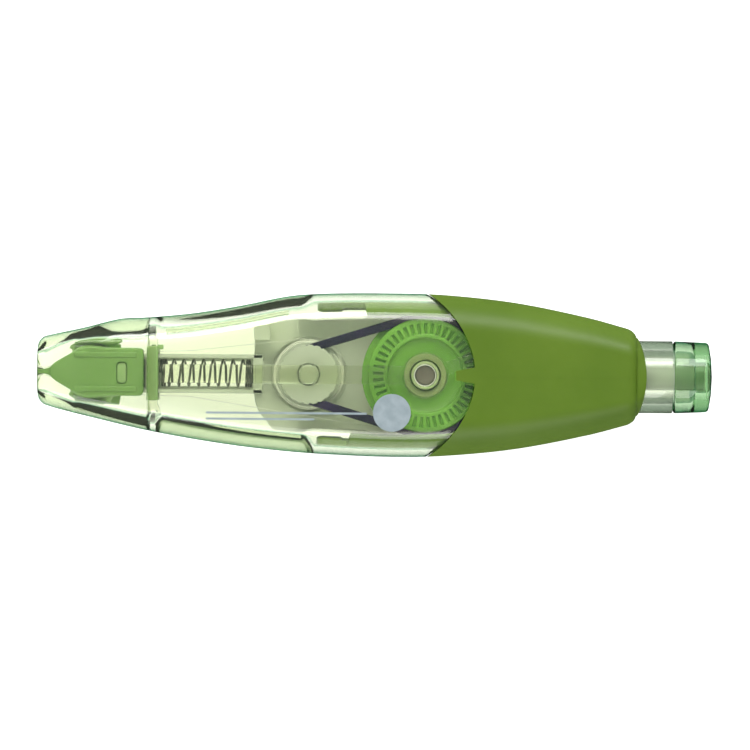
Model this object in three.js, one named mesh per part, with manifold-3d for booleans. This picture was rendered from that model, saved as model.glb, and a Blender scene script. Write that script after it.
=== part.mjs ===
// Retractable correction tape roller: a clear front case over a belt-driven tape refill, an opaque rear
// barrel, and a clear push button that slides the refill forward against a coil spring.
// Millimetres. +X runs from the nose to the button, +Z is up from the flat side that it lies on, and the
// origin is under the middle of the case, on that side.
import * as THREE from "three";
import { mergeVertices } from "three/addons/utils/BufferGeometryUtils.js";
import Module from "manifold-3d";

const wasm = await Module();
wasm.setup();

// ---------------------------------------------------------------- driving dimensions
const HALF_LENGTH = 67.4; // nose tip to middle, and middle to button end
const MID_Z = 9; // height of the case's middle plane, half the case's thickness
const GAP = 0.3; // clearance between neighbouring pieces
const TAPE_WIDTH = 4;

const SUPPLY = { x: 10, y: 0 }; // axis of the supply reel
const TAKEUP = { x: -13.2, y: 0 }; // axis of the take-up reel
const BELT_WIDTH = 1.7; // radial thickness of the belt's square section
const BELT_HEIGHT = 1.2;
const SUPPLY_GROOVE_R = 10.7;
const TAKEUP_GROOVE_R = 3.9;

const NOSE_REAR_X = -45; // joint between nose cone and front barrel
const CASE_JOINT = { x: 0.8, r: 18.8 }; // arc where the front barrel meets the rear barrel
const POINTER = { tipX: 15.8, tipHalf: 0.95, baseHalf: 1.6 }; // tab of the rear barrel inside that arc
const REAR_END_X = 54;

// Outline of the case seen from above, as distances from the centre line, and its half thickness.
const UPPER_EDGE = [
  [-67.4, 7], [-63, 8], [-58.2, 9.05], [-51, 10.85], [-46, 11.15], [-36.6, 12.05], [-27, 13.65],
  [-17.4, 15.6], [-10, 16.2], [3, 16.35], [13.8, 16.1], [28.2, 14.6], [42.6, 11.75], [50.6, 9.6],
];
const LOWER_EDGE = [
  [-67.4, 6], [-63, 7.3], [-56, 9], [-46, 11.3], [-36.6, 13], [-27, 14.4], [-17.4, 15.4],
  [-10, 15.9], [3, 16.35], [13.8, 16.1], [28.2, 14.6], [42.6, 11.75], [50.6, 9.6],
];
const HALF_THICKNESS = [[-67.4, 5.6], [-60, 6.6], [-50, 7.5], [-40, 8.15], [-30, 8.65], [-12, 9], [60, 9]];
const CORNER = [[-67.4, 3.9], [-55, 5], [-40, 5.8], [-20, 6.5], [30, 6.5], [50.6, 5.2]];

const FRONT_WALL = 1.25; // walls of the clear front barrel and of the opaque rear barrel
const REAR_WALL = 1.5;
const NOSE_WALL = 1.2;
const ARM = { front: -11.6, hookEnd: -6.5, outer: FRONT_WALL + GAP, hook: 3, inner: 2.6 };
const ARM_REACH = { down: -0.42, narrow: 0.42, wide: 1.05 }; // angles round the case's edge, up positive

// Levels of the refill, all measured up from the resting side.
const PLATE = [4.4, 5.4];
const NECK_FLOOR = [4.7, 5.4];
const HEAD = { bottom: 5.6, top: 12.4, cheek: 1.1 };
const TAPE = [MID_Z - TAPE_WIDTH / 2, MID_Z + TAPE_WIDTH / 2];
const RIM_TOP = 10.9;
const PULLEY_BOTTOM = 11.3;
const BRIDGE = [14.4, 15.2]; // over the reels
const NECK_BAR = [12.6, 13.2]; // the same bar, lower down over the spring
const BAR_HALF = 1.85;

const BUTTON_R = 7.2;
const BUTTON_JOINT_X = 59.4; // where the cap is pressed on the button's tube
const ROD_R = 2.6;

// ---------------------------------------------------------------- colours
const COLOURS = {
  clear: { color: 0xb9dfae, roughness: 0.05, metalness: 0, transparent: true, opacity: 0.4 },
  frosted: { color: 0xa3b184, roughness: 0.4, metalness: 0 },
  lime: { color: 0x74902b, roughness: 0.4, metalness: 0 },
  leaf: { color: 0x6ca550, roughness: 0.35, metalness: 0 },
  cream: { color: 0xbccb9c, roughness: 0.4, metalness: 0 },
  grey: { color: 0x7b7472, roughness: 0.5, metalness: 0 },
  white: { color: 0xf4f4ef, roughness: 0.6, metalness: 0 },
  belt: { color: 0x1c1238, roughness: 0.6, metalness: 0 },
  steel: { color: 0x8a8a86, roughness: 0.3, metalness: 1 },
};

// ---------------------------------------------------------------- solids
// A closed geometry as a manifold solid, with its faces turned outwards.
function solid(geometry) {
  const plain = geometry.clone();
  plain.deleteAttribute("normal");
  plain.deleteAttribute("uv");
  const merged = mergeVertices(plain, 1e-4);
  const vertProperties = merged.attributes.position.array;
  const triVerts = new Uint32Array(merged.index.array);
  if (signedVolume(vertProperties, triVerts) < 0) triVerts.reverse();
  return new wasm.Manifold(new wasm.Mesh({ numProp: 3, vertProperties, triVerts }));
}

function signedVolume(points, triangles) {
  const corners = [new THREE.Vector3(), new THREE.Vector3(), new THREE.Vector3()];
  let sum = 0;
  for (let i = 0; i < triangles.length; i += 3) {
    corners.forEach((corner, k) => corner.fromArray(points, triangles[i + k] * 3));
    sum += corners[0].dot(corners[1].cross(corners[2]));
  }
  return sum;
}

function join(...solids) {
  return solids.reduce((sum, next) => sum.add(next));
}

function cut(base, ...tools) {
  return tools.reduce((rest, tool) => rest.subtract(tool), base);
}

// A straight-sided solid from an outline in the XY plane, between two heights.
function slab(shape, bottom, top, curveSegments = 12) {
  const geometry = new THREE.ExtrudeGeometry(shape, {
    depth: top - bottom,
    bevelEnabled: false,
    curveSegments,
  });
  return solid(geometry.translate(0, 0, bottom));
}

function block(x0, x1, y0, y1, z0, z1) {
  const geometry = new THREE.BoxGeometry(x1 - x0, y1 - y0, z1 - z0);
  return solid(geometry.translate((x0 + x1) / 2, (y0 + y1) / 2, (z0 + z1) / 2));
}

// A turned solid about a vertical axis: the profile lists [radius, height].
function turnedZ(profile, centre, segments = 48) {
  const points = profile.map(([r, z]) => new THREE.Vector2(r, z));
  const geometry = new THREE.LatheGeometry(points, segments);
  return solid(geometry.rotateX(Math.PI / 2).translate(centre.x, centre.y, 0));
}

// A turned solid about the case's long axis: the profile lists [radius, x].
function turnedX(profile, segments = 32) {
  const points = profile.map(([r, x]) => new THREE.Vector2(r, x));
  const geometry = new THREE.LatheGeometry(points, segments);
  return solid(geometry.rotateZ(-Math.PI / 2).translate(0, 0, MID_Z));
}

// A closed profile for a tube between two radii.
function tube(inner, outer, from, to) {
  return [[inner, from], [outer, from], [outer, to], [inner, to], [inner, from]];
}

function polygon(points) {
  return new THREE.Shape(points.map(([x, y]) => new THREE.Vector2(x, y)));
}

function circle(radius, centre, x = 0, y = 0) {
  return new THREE.Shape().absarc(centre.x + x, centre.y + y, radius, 0, Math.PI * 2);
}

// A smooth value along X through a few stations, flat beyond the first and the last.
function along(stations) {
  const slope = stations.map((_, i) => {
    const [x0, v0] = stations[Math.max(i - 1, 0)];
    const [x1, v1] = stations[Math.min(i + 1, stations.length - 1)];
    return (v1 - v0) / (x1 - x0);
  });
  return (x) => {
    const last = stations.length - 1;
    if (x <= stations[0][0]) return stations[0][1];
    if (x >= stations[last][0]) return stations[last][1] + slope[last] * (x - stations[last][0]);
    const i = stations.findIndex((_, k) => x < stations[k + 1][0]);
    const [[x0, v0], [x1, v1]] = [stations[i], stations[i + 1]];
    const span = x1 - x0;
    const t = (x - x0) / span;
    const rise = (v1 - v0) / span;
    const bend = (slope[i] - rise) * (1 - t) + (rise - slope[i + 1]) * t;
    return v0 + rise * (x - x0) + bend * span * t * (1 - t);
  };
}

// ---------------------------------------------------------------- the case's cross-section
const upperEdge = along(UPPER_EDGE);
const lowerEdge = along(LOWER_EDGE);
const halfThickness = along(HALF_THICKNESS);
const corner = along(CORNER);
const CORNER_STEPS = 8; // facets round each edge of the section, from the top face to the bottom face
const LAND_POINTS = [-1, -POINTER.baseHalf, -POINTER.tipHalf, POINTER.tipHalf, POINTER.baseHalf, 1];

// The ring's points in order: the top face from -Y to +Y, the +Y edge, the bottom face, the -Y edge.
const RING = [
  ...LAND_POINTS.map((land) => ({ land, up: 1 })),
  ...edgeSteps().map((angle) => ({ side: 1, angle })),
  ...[...LAND_POINTS].reverse().map((land) => ({ land, up: -1 })),
  ...edgeSteps().reverse().map((angle) => ({ side: -1, angle })),
];

function edgeSteps() {
  const step = Math.PI / CORNER_STEPS;
  return Array.from({ length: CORNER_STEPS - 1 }, (_, i) => Math.PI / 2 - (i + 1) * step);
}

// One point of the case's section at x, moved in from the outer surface by inset.
function sectionPoint({ land, up, side, angle }, x, inset) {
  const middle = (upperEdge(x) - lowerEdge(x)) / 2;
  const half = (upperEdge(x) + lowerEdge(x)) / 2 - inset;
  const thick = Math.min(halfThickness(x), MID_Z) - inset;
  const round = Math.max(corner(x) - inset, 1);
  const flat = half - round;
  if (land !== undefined) {
    const y = Math.abs(land) === 1 ? land * flat : land;
    return [x, middle + y, MID_Z + up * thick];
  }
  return [x, middle + side * (flat + round * Math.cos(angle)), MID_Z + thick * Math.sin(angle)];
}

function sectionRing(x, inset) {
  return RING.map((spot) => sectionPoint(spot, x, inset));
}

// A ring whose points each lie at their own x, given by the point's y.
function edgeRing(edge, inset) {
  return RING.map((spot) => {
    const guess = sectionPoint(spot, CASE_JOINT.x + CASE_JOINT.r / 2, inset);
    return sectionPoint(spot, edge(guess[1]), inset);
  });
}

// A ring with the same number of points, on a rounded rectangle about the long axis.
function slotRing(x, middle, halfY, halfZ) {
  const flat = 0.6; // share of the width that is straight
  return RING.map(({ land, up, side, angle }) => {
    if (land !== undefined) {
      const y = Math.abs(land) === 1 ? land * halfY * flat : land;
      return [x, middle + y, MID_Z + up * halfZ];
    }
    const bulge = Math.sqrt(Math.abs(Math.cos(angle)));
    const lift = Math.sign(Math.sin(angle)) * Math.sqrt(Math.abs(Math.sin(angle)));
    return [x, middle + side * halfY * (flat + (1 - flat) * bulge), MID_Z + halfZ * lift];
  });
}

// A ring with the same number of points, on a circle about the long axis, at x given by the point's y.
function roundRing(radius, xOf) {
  return RING.map((spot) => {
    const [, y, z] = sectionPoint(spot, REAR_END_X - 4, 0);
    const turn = Math.atan2(z - MID_Z, y);
    return [xOf(radius * Math.cos(turn)), radius * Math.cos(turn), MID_Z + radius * Math.sin(turn)];
  });
}

// A solid through a loop of rings, the last joined to the first: a tube-like shell with a wall.
function shell(rings) {
  const count = rings[0].length;
  const geometry = new THREE.BufferGeometry();
  geometry.setAttribute("position", new THREE.Float32BufferAttribute(rings.flat(2), 3));
  const index = [];
  rings.forEach((_, i) => {
    const next = (i + 1) % rings.length;
    for (let k = 0; k < count; k++) {
      const [a, b] = [i * count + k, i * count + ((k + 1) % count)];
      const [c, d] = [next * count + ((k + 1) % count), next * count + k];
      index.push(a, b, c, a, c, d);
    }
  });
  geometry.setIndex(index);
  return solid(geometry);
}

// A solid through a row of rings, with a flat face at each end.
function loft(rings) {
  const count = rings[0].length;
  const ends = [rings[0], rings[rings.length - 1]].map((ring) => {
    const sum = ring.reduce((total, p) => total.map((v, k) => v + p[k]), [0, 0, 0]);
    return sum.map((v) => v / count);
  });
  const geometry = new THREE.BufferGeometry();
  const places = [...rings.flat(2), ...ends.flat()];
  geometry.setAttribute("position", new THREE.Float32BufferAttribute(places, 3));
  const index = [];
  const last = rings.length - 1;
  for (let k = 0; k < count; k++) {
    const after = (k + 1) % count;
    for (let i = 0; i < last; i++) {
      const [a, b] = [i * count + k, i * count + after];
      const [c, d] = [(i + 1) * count + after, (i + 1) * count + k];
      index.push(a, b, c, a, c, d);
    }
    index.push(rings.length * count, after, k);
    index.push(rings.length * count + 1, last * count + k, last * count + after);
  }
  geometry.setIndex(index);
  return solid(geometry);
}

// ---------------------------------------------------------------- case
function caseJoint(y) {
  const arc = CASE_JOINT.x + Math.sqrt(Math.max(CASE_JOINT.r ** 2 - y * y, 0));
  const reach = (Math.abs(y) - POINTER.tipHalf) / (POINTER.baseHalf - POINTER.tipHalf);
  return Math.abs(y) < POINTER.baseHalf ? THREE.MathUtils.lerp(POINTER.tipX, arc, Math.max(reach, 0)) : arc;
}

function frontBarrel() {
  const stations = [NOSE_REAR_X, -40, -34, -28, -22, -16, -9, 0, 8];
  return shell([
    ...stations.map((x) => sectionRing(x, 0)),
    edgeRing(caseJoint, 0),
    edgeRing(caseJoint, FRONT_WALL),
    ...stations.map((x) => sectionRing(x, FRONT_WALL)).reverse(),
  ]);
}

// Mouth of the nose, where the tape tip comes out: [x, half width], wider inside.
const MOUTH = {
  middle: 0.35,
  halfZ: 4,
  widths: [[-HALF_LENGTH, 3.7], [-66, 4.4], [-64, 5.1], [-62.4, 5.2]],
};
const SPIGOT = { end: -42.2, outer: FRONT_WALL + GAP, inner: 2.5 };
const LEDGE = { front: -46.8, rear: -45.35, inset: 3.3 }; // stops the spring collar

function noseCone() {
  const front = -HALF_LENGTH;
  const seam = NOSE_REAR_X - GAP / 2;
  return shell([
    ...[seam, -48.5, -51, -56, -62, -65.6].map((x) => sectionRing(x, 0)),
    sectionRing(front + 0.6, 0.5),
    sectionRing(front + 0.1, 1.3),
    sectionRing(front, 2),
    ...MOUTH.widths.map(([x, halfY]) => slotRing(x, MOUTH.middle, halfY, MOUTH.halfZ)),
    sectionRing(-62, 1.7),
    sectionRing(-58, NOSE_WALL),
    sectionRing(-51, NOSE_WALL),
    sectionRing(LEDGE.front - 0.4, NOSE_WALL),
    sectionRing(LEDGE.front, LEDGE.inset),
    sectionRing(LEDGE.rear, LEDGE.inset),
    sectionRing(LEDGE.rear + 0.05, SPIGOT.inner),
    sectionRing(SPIGOT.end, SPIGOT.inner),
    sectionRing(SPIGOT.end, SPIGOT.outer),
    sectionRing(seam, SPIGOT.outer),
  ]);
}

// Fixed guide in the nose: a low base under the tape head, with a rounded cheek on each side of it.
function headGuide() {
  const [rear, front, top] = [-50.4, -60.2, 11];
  const [upperFace, lowerFace] = [5.4, -4.95];
  const upper = new THREE.Shape();
  upper.moveTo(front, upperFace);
  upper.bezierCurveTo(front + 0.6, 6.3, front + 3, 7.1, front + 5, 7.5);
  upper.lineTo(rear - 1, 7.9);
  upper.quadraticCurveTo(rear, 7.8, rear, 7);
  upper.quadraticCurveTo(rear - 0.2, 5.9, rear - 1.6, upperFace);
  const lower = new THREE.Shape();
  lower.moveTo(front, lowerFace);
  lower.bezierCurveTo(front + 0.3, -5.7, front + 1.5, -6, front + 3, -6.15);
  lower.quadraticCurveTo(front + 6, -6.3, front + 6.4, -5.9);
  lower.quadraticCurveTo(front + 6.4, -5.2, front + 5.6, lowerFace);
  const [baseFront, baseRear] = [-57, -54];
  return join(
    slab(upper, 6.4, top, 5),
    slab(lower, 6.4, top, 5),
    block(baseFront, baseRear, -5.2, 5.7, 3.7, 4.4),
    block(baseFront, baseRear, upperFace, 6.3, 4.2, 6.6),
    block(baseFront, baseRear, -5.8, lowerFace, 4.2, 6.6),
  );
}

// Clear strip inside the upper wall of the front barrel, which the refill's frame runs along.
function guideRail() {
  const stations = [NOSE_REAR_X + 3.2, -34, -25.5, -17.4];
  const [thickness, halfWidth, slack] = [1.4, 2.3, 0.35];
  return loft(stations.map((x) => {
    const top = upperEdge(x) - FRONT_WALL - GAP - slack;
    return [[x, top, MID_Z - halfWidth], [x, top, MID_Z + halfWidth],
      [x, top - thickness, MID_Z + halfWidth], [x, top - thickness, MID_Z - halfWidth]];
  }));
}

function rearEnd(y) {
  return REAR_END_X - 0.026 * y * y; // the end face bulges a little
}

// One of the two arms that reach forward inside the front barrel: a curved strip that follows the case's
// edge, thicker at its tip, and narrow as far as narrowTo.
function barrelArm(side, narrowTo) {
  const rootX = 15.4; // behind this the arm is part of the rear barrel's wall
  const stations = [ARM.front, ARM.hookEnd, ARM.hookEnd + 0.4, narrowTo, narrowTo + 0.4, 8, rootX, 16, 22];
  return loft(stations.map((x) => {
    const outer = x > rootX ? REAR_WALL - 0.2 : ARM.outer;
    const drawnIn = 0.4; // extra room per radian, as the case's corners turn in towards the joint
    const inner = x > ARM.hookEnd ? ARM.inner : ARM.hook;
    const top = x > narrowTo ? ARM_REACH.wide : ARM_REACH.narrow;
    const angles = [0, 0.2, 0.4, 0.6, 0.8, 1].map((share) => ARM_REACH.down + (top - ARM_REACH.down) * share);
    return [
      ...angles.map((angle) => sectionPoint({ side, angle }, x, outer + drawnIn * Math.max(angle, 0))),
      ...[...angles].reverse().map((angle) => sectionPoint({ side, angle }, x, inner)),
    ];
  }));
}

function rearBarrel() {
  const stations = [22, 28, 34, 40, 46];
  const bore = BUTTON_R + GAP;
  const body = shell([
    edgeRing((y) => caseJoint(y) + GAP, 0),
    ...[...stations, 50.4].map((x) => sectionRing(x, 0)),
    sectionRing(51.6, 0.5),
    sectionRing(52.1, 1.1),
    roundRing(bore, rearEnd),
    roundRing(bore, () => REAR_END_X - 3.2),
    sectionRing(REAR_END_X - 3.6, REAR_WALL),
    ...[...stations].reverse().map((x) => sectionRing(x, REAR_WALL)),
    edgeRing((y) => caseJoint(y) + GAP, REAR_WALL),
  ]);
  return join(body, barrelArm(1, -2.2), barrelArm(-1, -5.4));
}

// ---------------------------------------------------------------- push button and latch
function buttonTube() {
  const wall = 1.8;
  const body = turnedX(tube(BUTTON_R - wall, BUTTON_R, 46.8, BUTTON_JOINT_X), 40);
  const tabs = [-1, 1].map((side) => {
    const [near, far] = [side * (BUTTON_R - 0.5), side * (BUTTON_R + 0.85)].sort((a, b) => a - b);
    return block(48.4, 50.2, near, far, MID_Z - 2, MID_Z + 2);
  });
  return join(body, ...tabs);
}

function buttonCap() {
  const end = HALF_LENGTH;
  const start = BUTTON_JOINT_X + 0.2;
  return turnedX([
    [5.3, start], [BUTTON_R, start], [6.95, end - 1.2], [6.6, end - 0.85], [4, end - 0.3], [0, end],
    [0, end - 1.5], [3.1, end - 1.5], [3.1, end - 3.4], [4.9, end - 3.6], [5.3, end - 4.4], [5.3, start],
  ], 40);
}

const ROD_FRONT = 31.8;
const CROWN = { r: 4.6, length: 2.4, teeth: 8, tooth: 0.8 };

// Ring of saw teeth that point forward, standing on a face at x.
function sawTeeth(inner, outer, x) {
  return Array.from({ length: CROWN.teeth }, (_, i) => {
    const pitch = (Math.PI * 2) / CROWN.teeth;
    const [from, to] = [i * pitch, (i + 0.9) * pitch];
    const spot = (r, turn, at) => [at, r * Math.cos(turn), MID_Z + r * Math.sin(turn)];
    const root = x + 0.2;
    return loft([
      [spot(inner, from, root), spot(outer, from, root), spot(outer, to, root), spot(inner, to, root)],
      [spot(inner, from, x), spot(outer, from, x), spot(outer, to, x), spot(inner, to, x)],
      [spot(inner, from, x - CROWN.tooth), spot(outer, from, x - CROWN.tooth),
        spot(outer, to, x - 0.1), spot(inner, to, x - 0.1)],
    ]);
  });
}

function pushRod() {
  const rod = turnedX([
    [0, ROD_FRONT - 3.4], [1.4, ROD_FRONT - 3.4], [1.4, ROD_FRONT], [CROWN.r, ROD_FRONT],
    [CROWN.r, ROD_FRONT + CROWN.length], [ROD_R, ROD_FRONT + CROWN.length + 1.4],
    [ROD_R, HALF_LENGTH - 1.8], [0, HALF_LENGTH - 1.8],
  ], 24);
  return join(rod, ...sawTeeth(2.8, CROWN.r, ROD_FRONT));
}

const ROTOR = { front: 28.1, rear: 30.7, r: 4.5, bore: 1.7 };

function camRotor() {
  const ring = turnedX(tube(ROTOR.bore, ROTOR.r, ROTOR.front, ROTOR.rear), 32);
  const notches = Array.from({ length: 4 }, (_, i) => {
    const turn = (i * Math.PI) / 2 + Math.PI / 4;
    const notch = new THREE.BoxGeometry(4, 1.2, 1.2).translate(29.4, ROTOR.r, 0);
    return solid(notch.rotateX(turn).translate(0, 0, MID_Z));
  });
  return cut(ring, ...notches);
}

const SLEEVE = { front: 33.2, rear: 40.8, inner: 5.2, outer: 6.4 }; // its rear clears the pushed button

// Fixed guide of the latch: a sleeve with saw teeth at its front, on a flange that fits the barrel.
function latchSleeve() {
  const body = turnedX(tube(SLEEVE.inner, SLEEVE.outer, SLEEVE.front - 4.2, SLEEVE.rear), 32);
  const [flangeFront, flangeRear] = [SLEEVE.front, SLEEVE.front + 1.4];
  const flange = loft([sectionRing(flangeFront, REAR_WALL + GAP), sectionRing(flangeRear, REAR_WALL + GAP)]);
  const bore = turnedX([[0, flangeFront - 1], [SLEEVE.outer - 0.4, flangeFront - 1],
    [SLEEVE.outer - 0.4, flangeRear + 1], [0, flangeRear + 1]], 32);
  return join(body, cut(flange, bore), ...sawTeeth(SLEEVE.inner, SLEEVE.outer, SLEEVE.front - 4.2));
}

// ---------------------------------------------------------------- refill: frame, bridge, axles
const NECK = {
  half: 3.9,
  inner: 3.1,
  top: 12.2,
  front: -51.6,
  railFront: -48.2,
  headX: -45.8,
  seatX: -23.4, // face that the spring pushes on
  rear: -22.4,
};
const NECK_WINDOW = { front: -42.6, rear: -25, half: 2.5 }; // opening in the neck's floor, under the spring
const PAD = { x: [-24.2, -21], y: [6.8, 9.4], top: 8 }; // raised corner of the plate
const FRAME_REAR_X = 24.6;
const RIM = 0.6;

// Outline of the refill's base plate, moved in by inset: a lobe at the front, square at its +Y corner and
// round at the other, and wider at the reel.
function plateOutline(inset) {
  const [frontX, rearX] = [PAD.x[0] + inset, FRAME_REAR_X - inset];
  const back = [
    [-15.1, 11.3 - inset], [-1.4, 11.9 - inset], [0, 12.95 - inset], [13, 12.95 - inset],
    [16.5, 11.9 - inset], [22.4 - inset, 8.6], [rearX, 5.5],
  ];
  const upper = [[frontX, 8.9], [frontX + 0.5, 9.4], [-19.6, 10.4], ...back];
  const lower = [[frontX, -5], [frontX + 0.9, -7.6], [-21, -9.6], [-18.4, -10.8]];
  return polygon([...upper, ...[...back].reverse().map(([x, y]) => [x, -y]), ...lower.reverse()]);
}

function refillFrame() {
  const plate = slab(plateOutline(0), PLATE[0], PLATE[1]);
  const rim = cut(
    slab(plateOutline(0), PLATE[1] - 0.2, RIM_TOP),
    slab(plateOutline(RIM), PLATE[1] - 1, RIM_TOP + 1),
    block(-25, -15.5, -13, 13, PLATE[1], RIM_TOP + 1),
  );
  const { front, rear, half } = NECK_WINDOW;
  const floor = cut(
    block(NECK.front, -21, -NECK.half, NECK.half, NECK_FLOOR[0], NECK_FLOOR[1]),
    block(front, rear, -half, half, NECK_FLOOR[0] - 1, NECK_FLOOR[1] + 1),
  );
  const pad = block(...PAD.x, ...PAD.y, PLATE[1] - 0.2, PAD.top);
  const rails = [1, -1].flatMap((side) => {
    const [near, far] = [side * NECK.inner, side * NECK.half].sort((a, b) => a - b);
    return [
      block(NECK.railFront, NECK.headX, near, far, PLATE[1] - 0.2, HEAD.top - HEAD.cheek - GAP),
      block(NECK.headX - 0.1, NECK.rear, near, far, PLATE[1] - 0.2, NECK.top),
    ];
  });
  const seat = block(NECK.seatX - 0.9, NECK.rear, -NECK.half, NECK.half, PLATE[1] - 0.2, NECK.top);
  const tail = cut(
    turnedX([[0, FRAME_REAR_X - 0.4], [2.8, FRAME_REAR_X - 0.4], [2.8, 27.7], [0, 27.7]], 24),
    turnedX([[0, 26.6], [1.8, 26.6], [1.8, 29], [0, 29]], 24),
  );
  const bores = [
    slab(circle(3.1, SUPPLY), PLATE[0] - 1, PLATE[1] + 1, 16),
    slab(circle(2.3, TAKEUP), PLATE[0] - 1, PLATE[1] + 1, 16),
  ];
  return cut(join(plate, rim, floor, pad, ...rails, seat, tail), ...bores);
}

const HUB = { post: 2.8, bore: 2.25, head: 3.7 };

// Clear bar over the spring and the reels that steadies the supply hub, with a short arm behind it.
function refillBridge() {
  const [step, riserEnd] = [-23.8, NECK.rear];
  const neckBar = block(-42.2, riserEnd, -BAR_HALF, BAR_HALF, NECK_BAR[0], NECK_BAR[1]);
  const riser = block(step, riserEnd, -BAR_HALF, BAR_HALF, NECK_BAR[0], BRIDGE[1]);
  const bar = block(step, SUPPLY.x - HUB.post, -BAR_HALF, BAR_HALF, BRIDGE[0], BRIDGE[1]);
  const ring = slab(circle(HUB.head + 0.9, SUPPLY), BRIDGE[0], BRIDGE[1], 20);
  const [armLength, armWidth, armTurn] = [10.6, 2.6, THREE.MathUtils.degToRad(18)];
  const arm = new THREE.BoxGeometry(armLength, armWidth, BRIDGE[1] - BRIDGE[0]);
  arm.translate(HUB.head + armLength / 2, 0, (BRIDGE[0] + BRIDGE[1]) / 2);
  const rearArm = solid(arm.rotateZ(armTurn).translate(SUPPLY.x, SUPPLY.y, 0));
  const rearPost = block(23, 24.3, 3.4, 5.6, RIM_TOP + GAP, BRIDGE[1]);
  const bore = slab(circle(HUB.post + GAP, SUPPLY), BRIDGE[0] - 1, BRIDGE[1] + 1, 20);
  return cut(join(neckBar, riser, bar, ring, rearArm, rearPost), bore);
}

// Hollow post that the supply reel turns on.
function supplyAxle() {
  const foot = 3.9;
  return turnedZ([
    [HUB.bore, PLATE[0] - 0.9], [foot, PLATE[0] - 0.9], [foot, PLATE[0] - GAP], [HUB.post, PLATE[0] - GAP],
    [HUB.post, BRIDGE[1] + 0.1], [HUB.bore, BRIDGE[1] + 0.1], [HUB.bore, PLATE[0] - 0.9],
  ], SUPPLY, 32);
}

function hubPin() {
  return turnedZ([[0, 3.6], [HUB.bore - 0.25, 3.6], [HUB.bore - 0.25, 14.6], [0, 14.6]], SUPPLY, 24);
}

function takeupAxle() {
  return turnedZ([
    [0, PLATE[0] - 0.9], [3, PLATE[0] - 0.9], [3, PLATE[0] - GAP], [2, PLATE[0] - GAP],
    [2, 13.9], [0, 13.9],
  ], TAKEUP, 24);
}

// ---------------------------------------------------------------- refill: reels, pulleys, belt
const COIL = { supply: 11.7, supplyCore: 5.2, takeup: 7, takeupCore: 6.2 };

// Bobbin with one flange under the tape coil, and a core that reaches up to its pulley.
function bobbin(bore, core, flange, centre, segments) {
  const [flangeBottom, flangeTop] = [5.75, 6.5];
  return turnedZ([
    [bore, flangeBottom], [flange, flangeBottom], [flange, flangeTop], [core, flangeTop],
    [core, PULLEY_BOTTOM - GAP], [bore, PULLEY_BOTTOM - GAP], [bore, flangeBottom],
  ], centre, segments);
}

function coil(inner, outer, centre, segments) {
  return turnedZ(tube(inner, outer, TAPE[0], TAPE[1]), centre, segments);
}

const GROOVE = [PULLEY_BOTTOM + 0.6, PULLEY_BOTTOM + 0.6 + BELT_HEIGHT + 0.2];
const PULLEY = { flange: 12.6, top: 11.4, recess: 7.4, face: 13.9 };
const RIBS = { inner: 8.3, outer: 10.3, count: 45, grooveWidth: 0.55, grooveDepth: 0.35 };

// Big green pulley: a belt groove, and a ring of fine radial ribs round a recessed middle.
function supplyPulley() {
  const body = turnedZ([
    [3.1, PULLEY_BOTTOM], [PULLEY.flange, PULLEY_BOTTOM], [PULLEY.flange, GROOVE[0]],
    [SUPPLY_GROOVE_R, GROOVE[0]], [SUPPLY_GROOVE_R, GROOVE[1]], [PULLEY.top, GROOVE[1]],
    [PULLEY.top, PULLEY.face - 0.2], [RIBS.outer, PULLEY.face], [PULLEY.recess + 0.2, PULLEY.face],
    [PULLEY.recess, PULLEY.face - 0.7], [3.1, PULLEY.face - 0.7], [3.1, PULLEY_BOTTOM],
  ], SUPPLY, 48);
  const pitch = (Math.PI * 2) / RIBS.count;
  const length = RIBS.outer - RIBS.inner;
  const grooves = Array.from({ length: RIBS.count }, (_, i) => {
    const groove = new THREE.BoxGeometry(length, RIBS.grooveWidth, RIBS.grooveDepth * 2);
    groove.translate(RIBS.inner + length / 2, 0, PULLEY.face);
    return solid(groove.rotateZ(i * pitch).translate(SUPPLY.x, SUPPLY.y, 0));
  });
  return cut(body, ...grooves);
}

// Hub ring on top of the supply pulley: the loose side of the friction clutch.
function clutchRing() {
  return turnedZ(tube(3.1, HUB.head + 0.5, PULLEY.face - 0.55, BRIDGE[0] - 0.1), SUPPLY, 32);
}

// Small pulley with a toothed top flange.
function takeupPulley() {
  const [bore, flange, teeth] = [2.3, TAKEUP_GROOVE_R + BELT_WIDTH + 0.35, 24];
  const body = turnedZ([
    [bore, PULLEY_BOTTOM], [flange + 0.6, PULLEY_BOTTOM], [flange + 0.6, GROOVE[0]],
    [TAKEUP_GROOVE_R, GROOVE[0]], [TAKEUP_GROOVE_R, GROOVE[1]], [flange, GROOVE[1]],
    [flange, GROOVE[1] + 0.5], [bore, GROOVE[1] + 0.5], [bore, PULLEY_BOTTOM],
  ], TAKEUP, 32);
  const notches = Array.from({ length: teeth }, (_, i) => {
    const notch = new THREE.BoxGeometry(0.9, 0.6, 1.2).translate(flange, 0, GROOVE[1] + 0.4);
    return solid(notch.rotateZ((i * Math.PI * 2) / teeth).translate(TAKEUP.x, TAKEUP.y, 0));
  });
  return cut(body, ...notches);
}

// The belt's path round both pulleys, at a distance from each groove's floor.
function beltLoop(offset, Kind) {
  const [big, small] = [SUPPLY_GROOVE_R + offset, TAKEUP_GROOVE_R + offset];
  const lean = Math.acos((big - small) / (SUPPLY.x - TAKEUP.x));
  const loop = new Kind();
  loop.absarc(SUPPLY.x, SUPPLY.y, big, -Math.PI + lean, Math.PI - lean, false);
  loop.absarc(TAKEUP.x, TAKEUP.y, small, Math.PI - lean, Math.PI + lean, false);
  loop.closePath();
  return loop;
}

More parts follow.
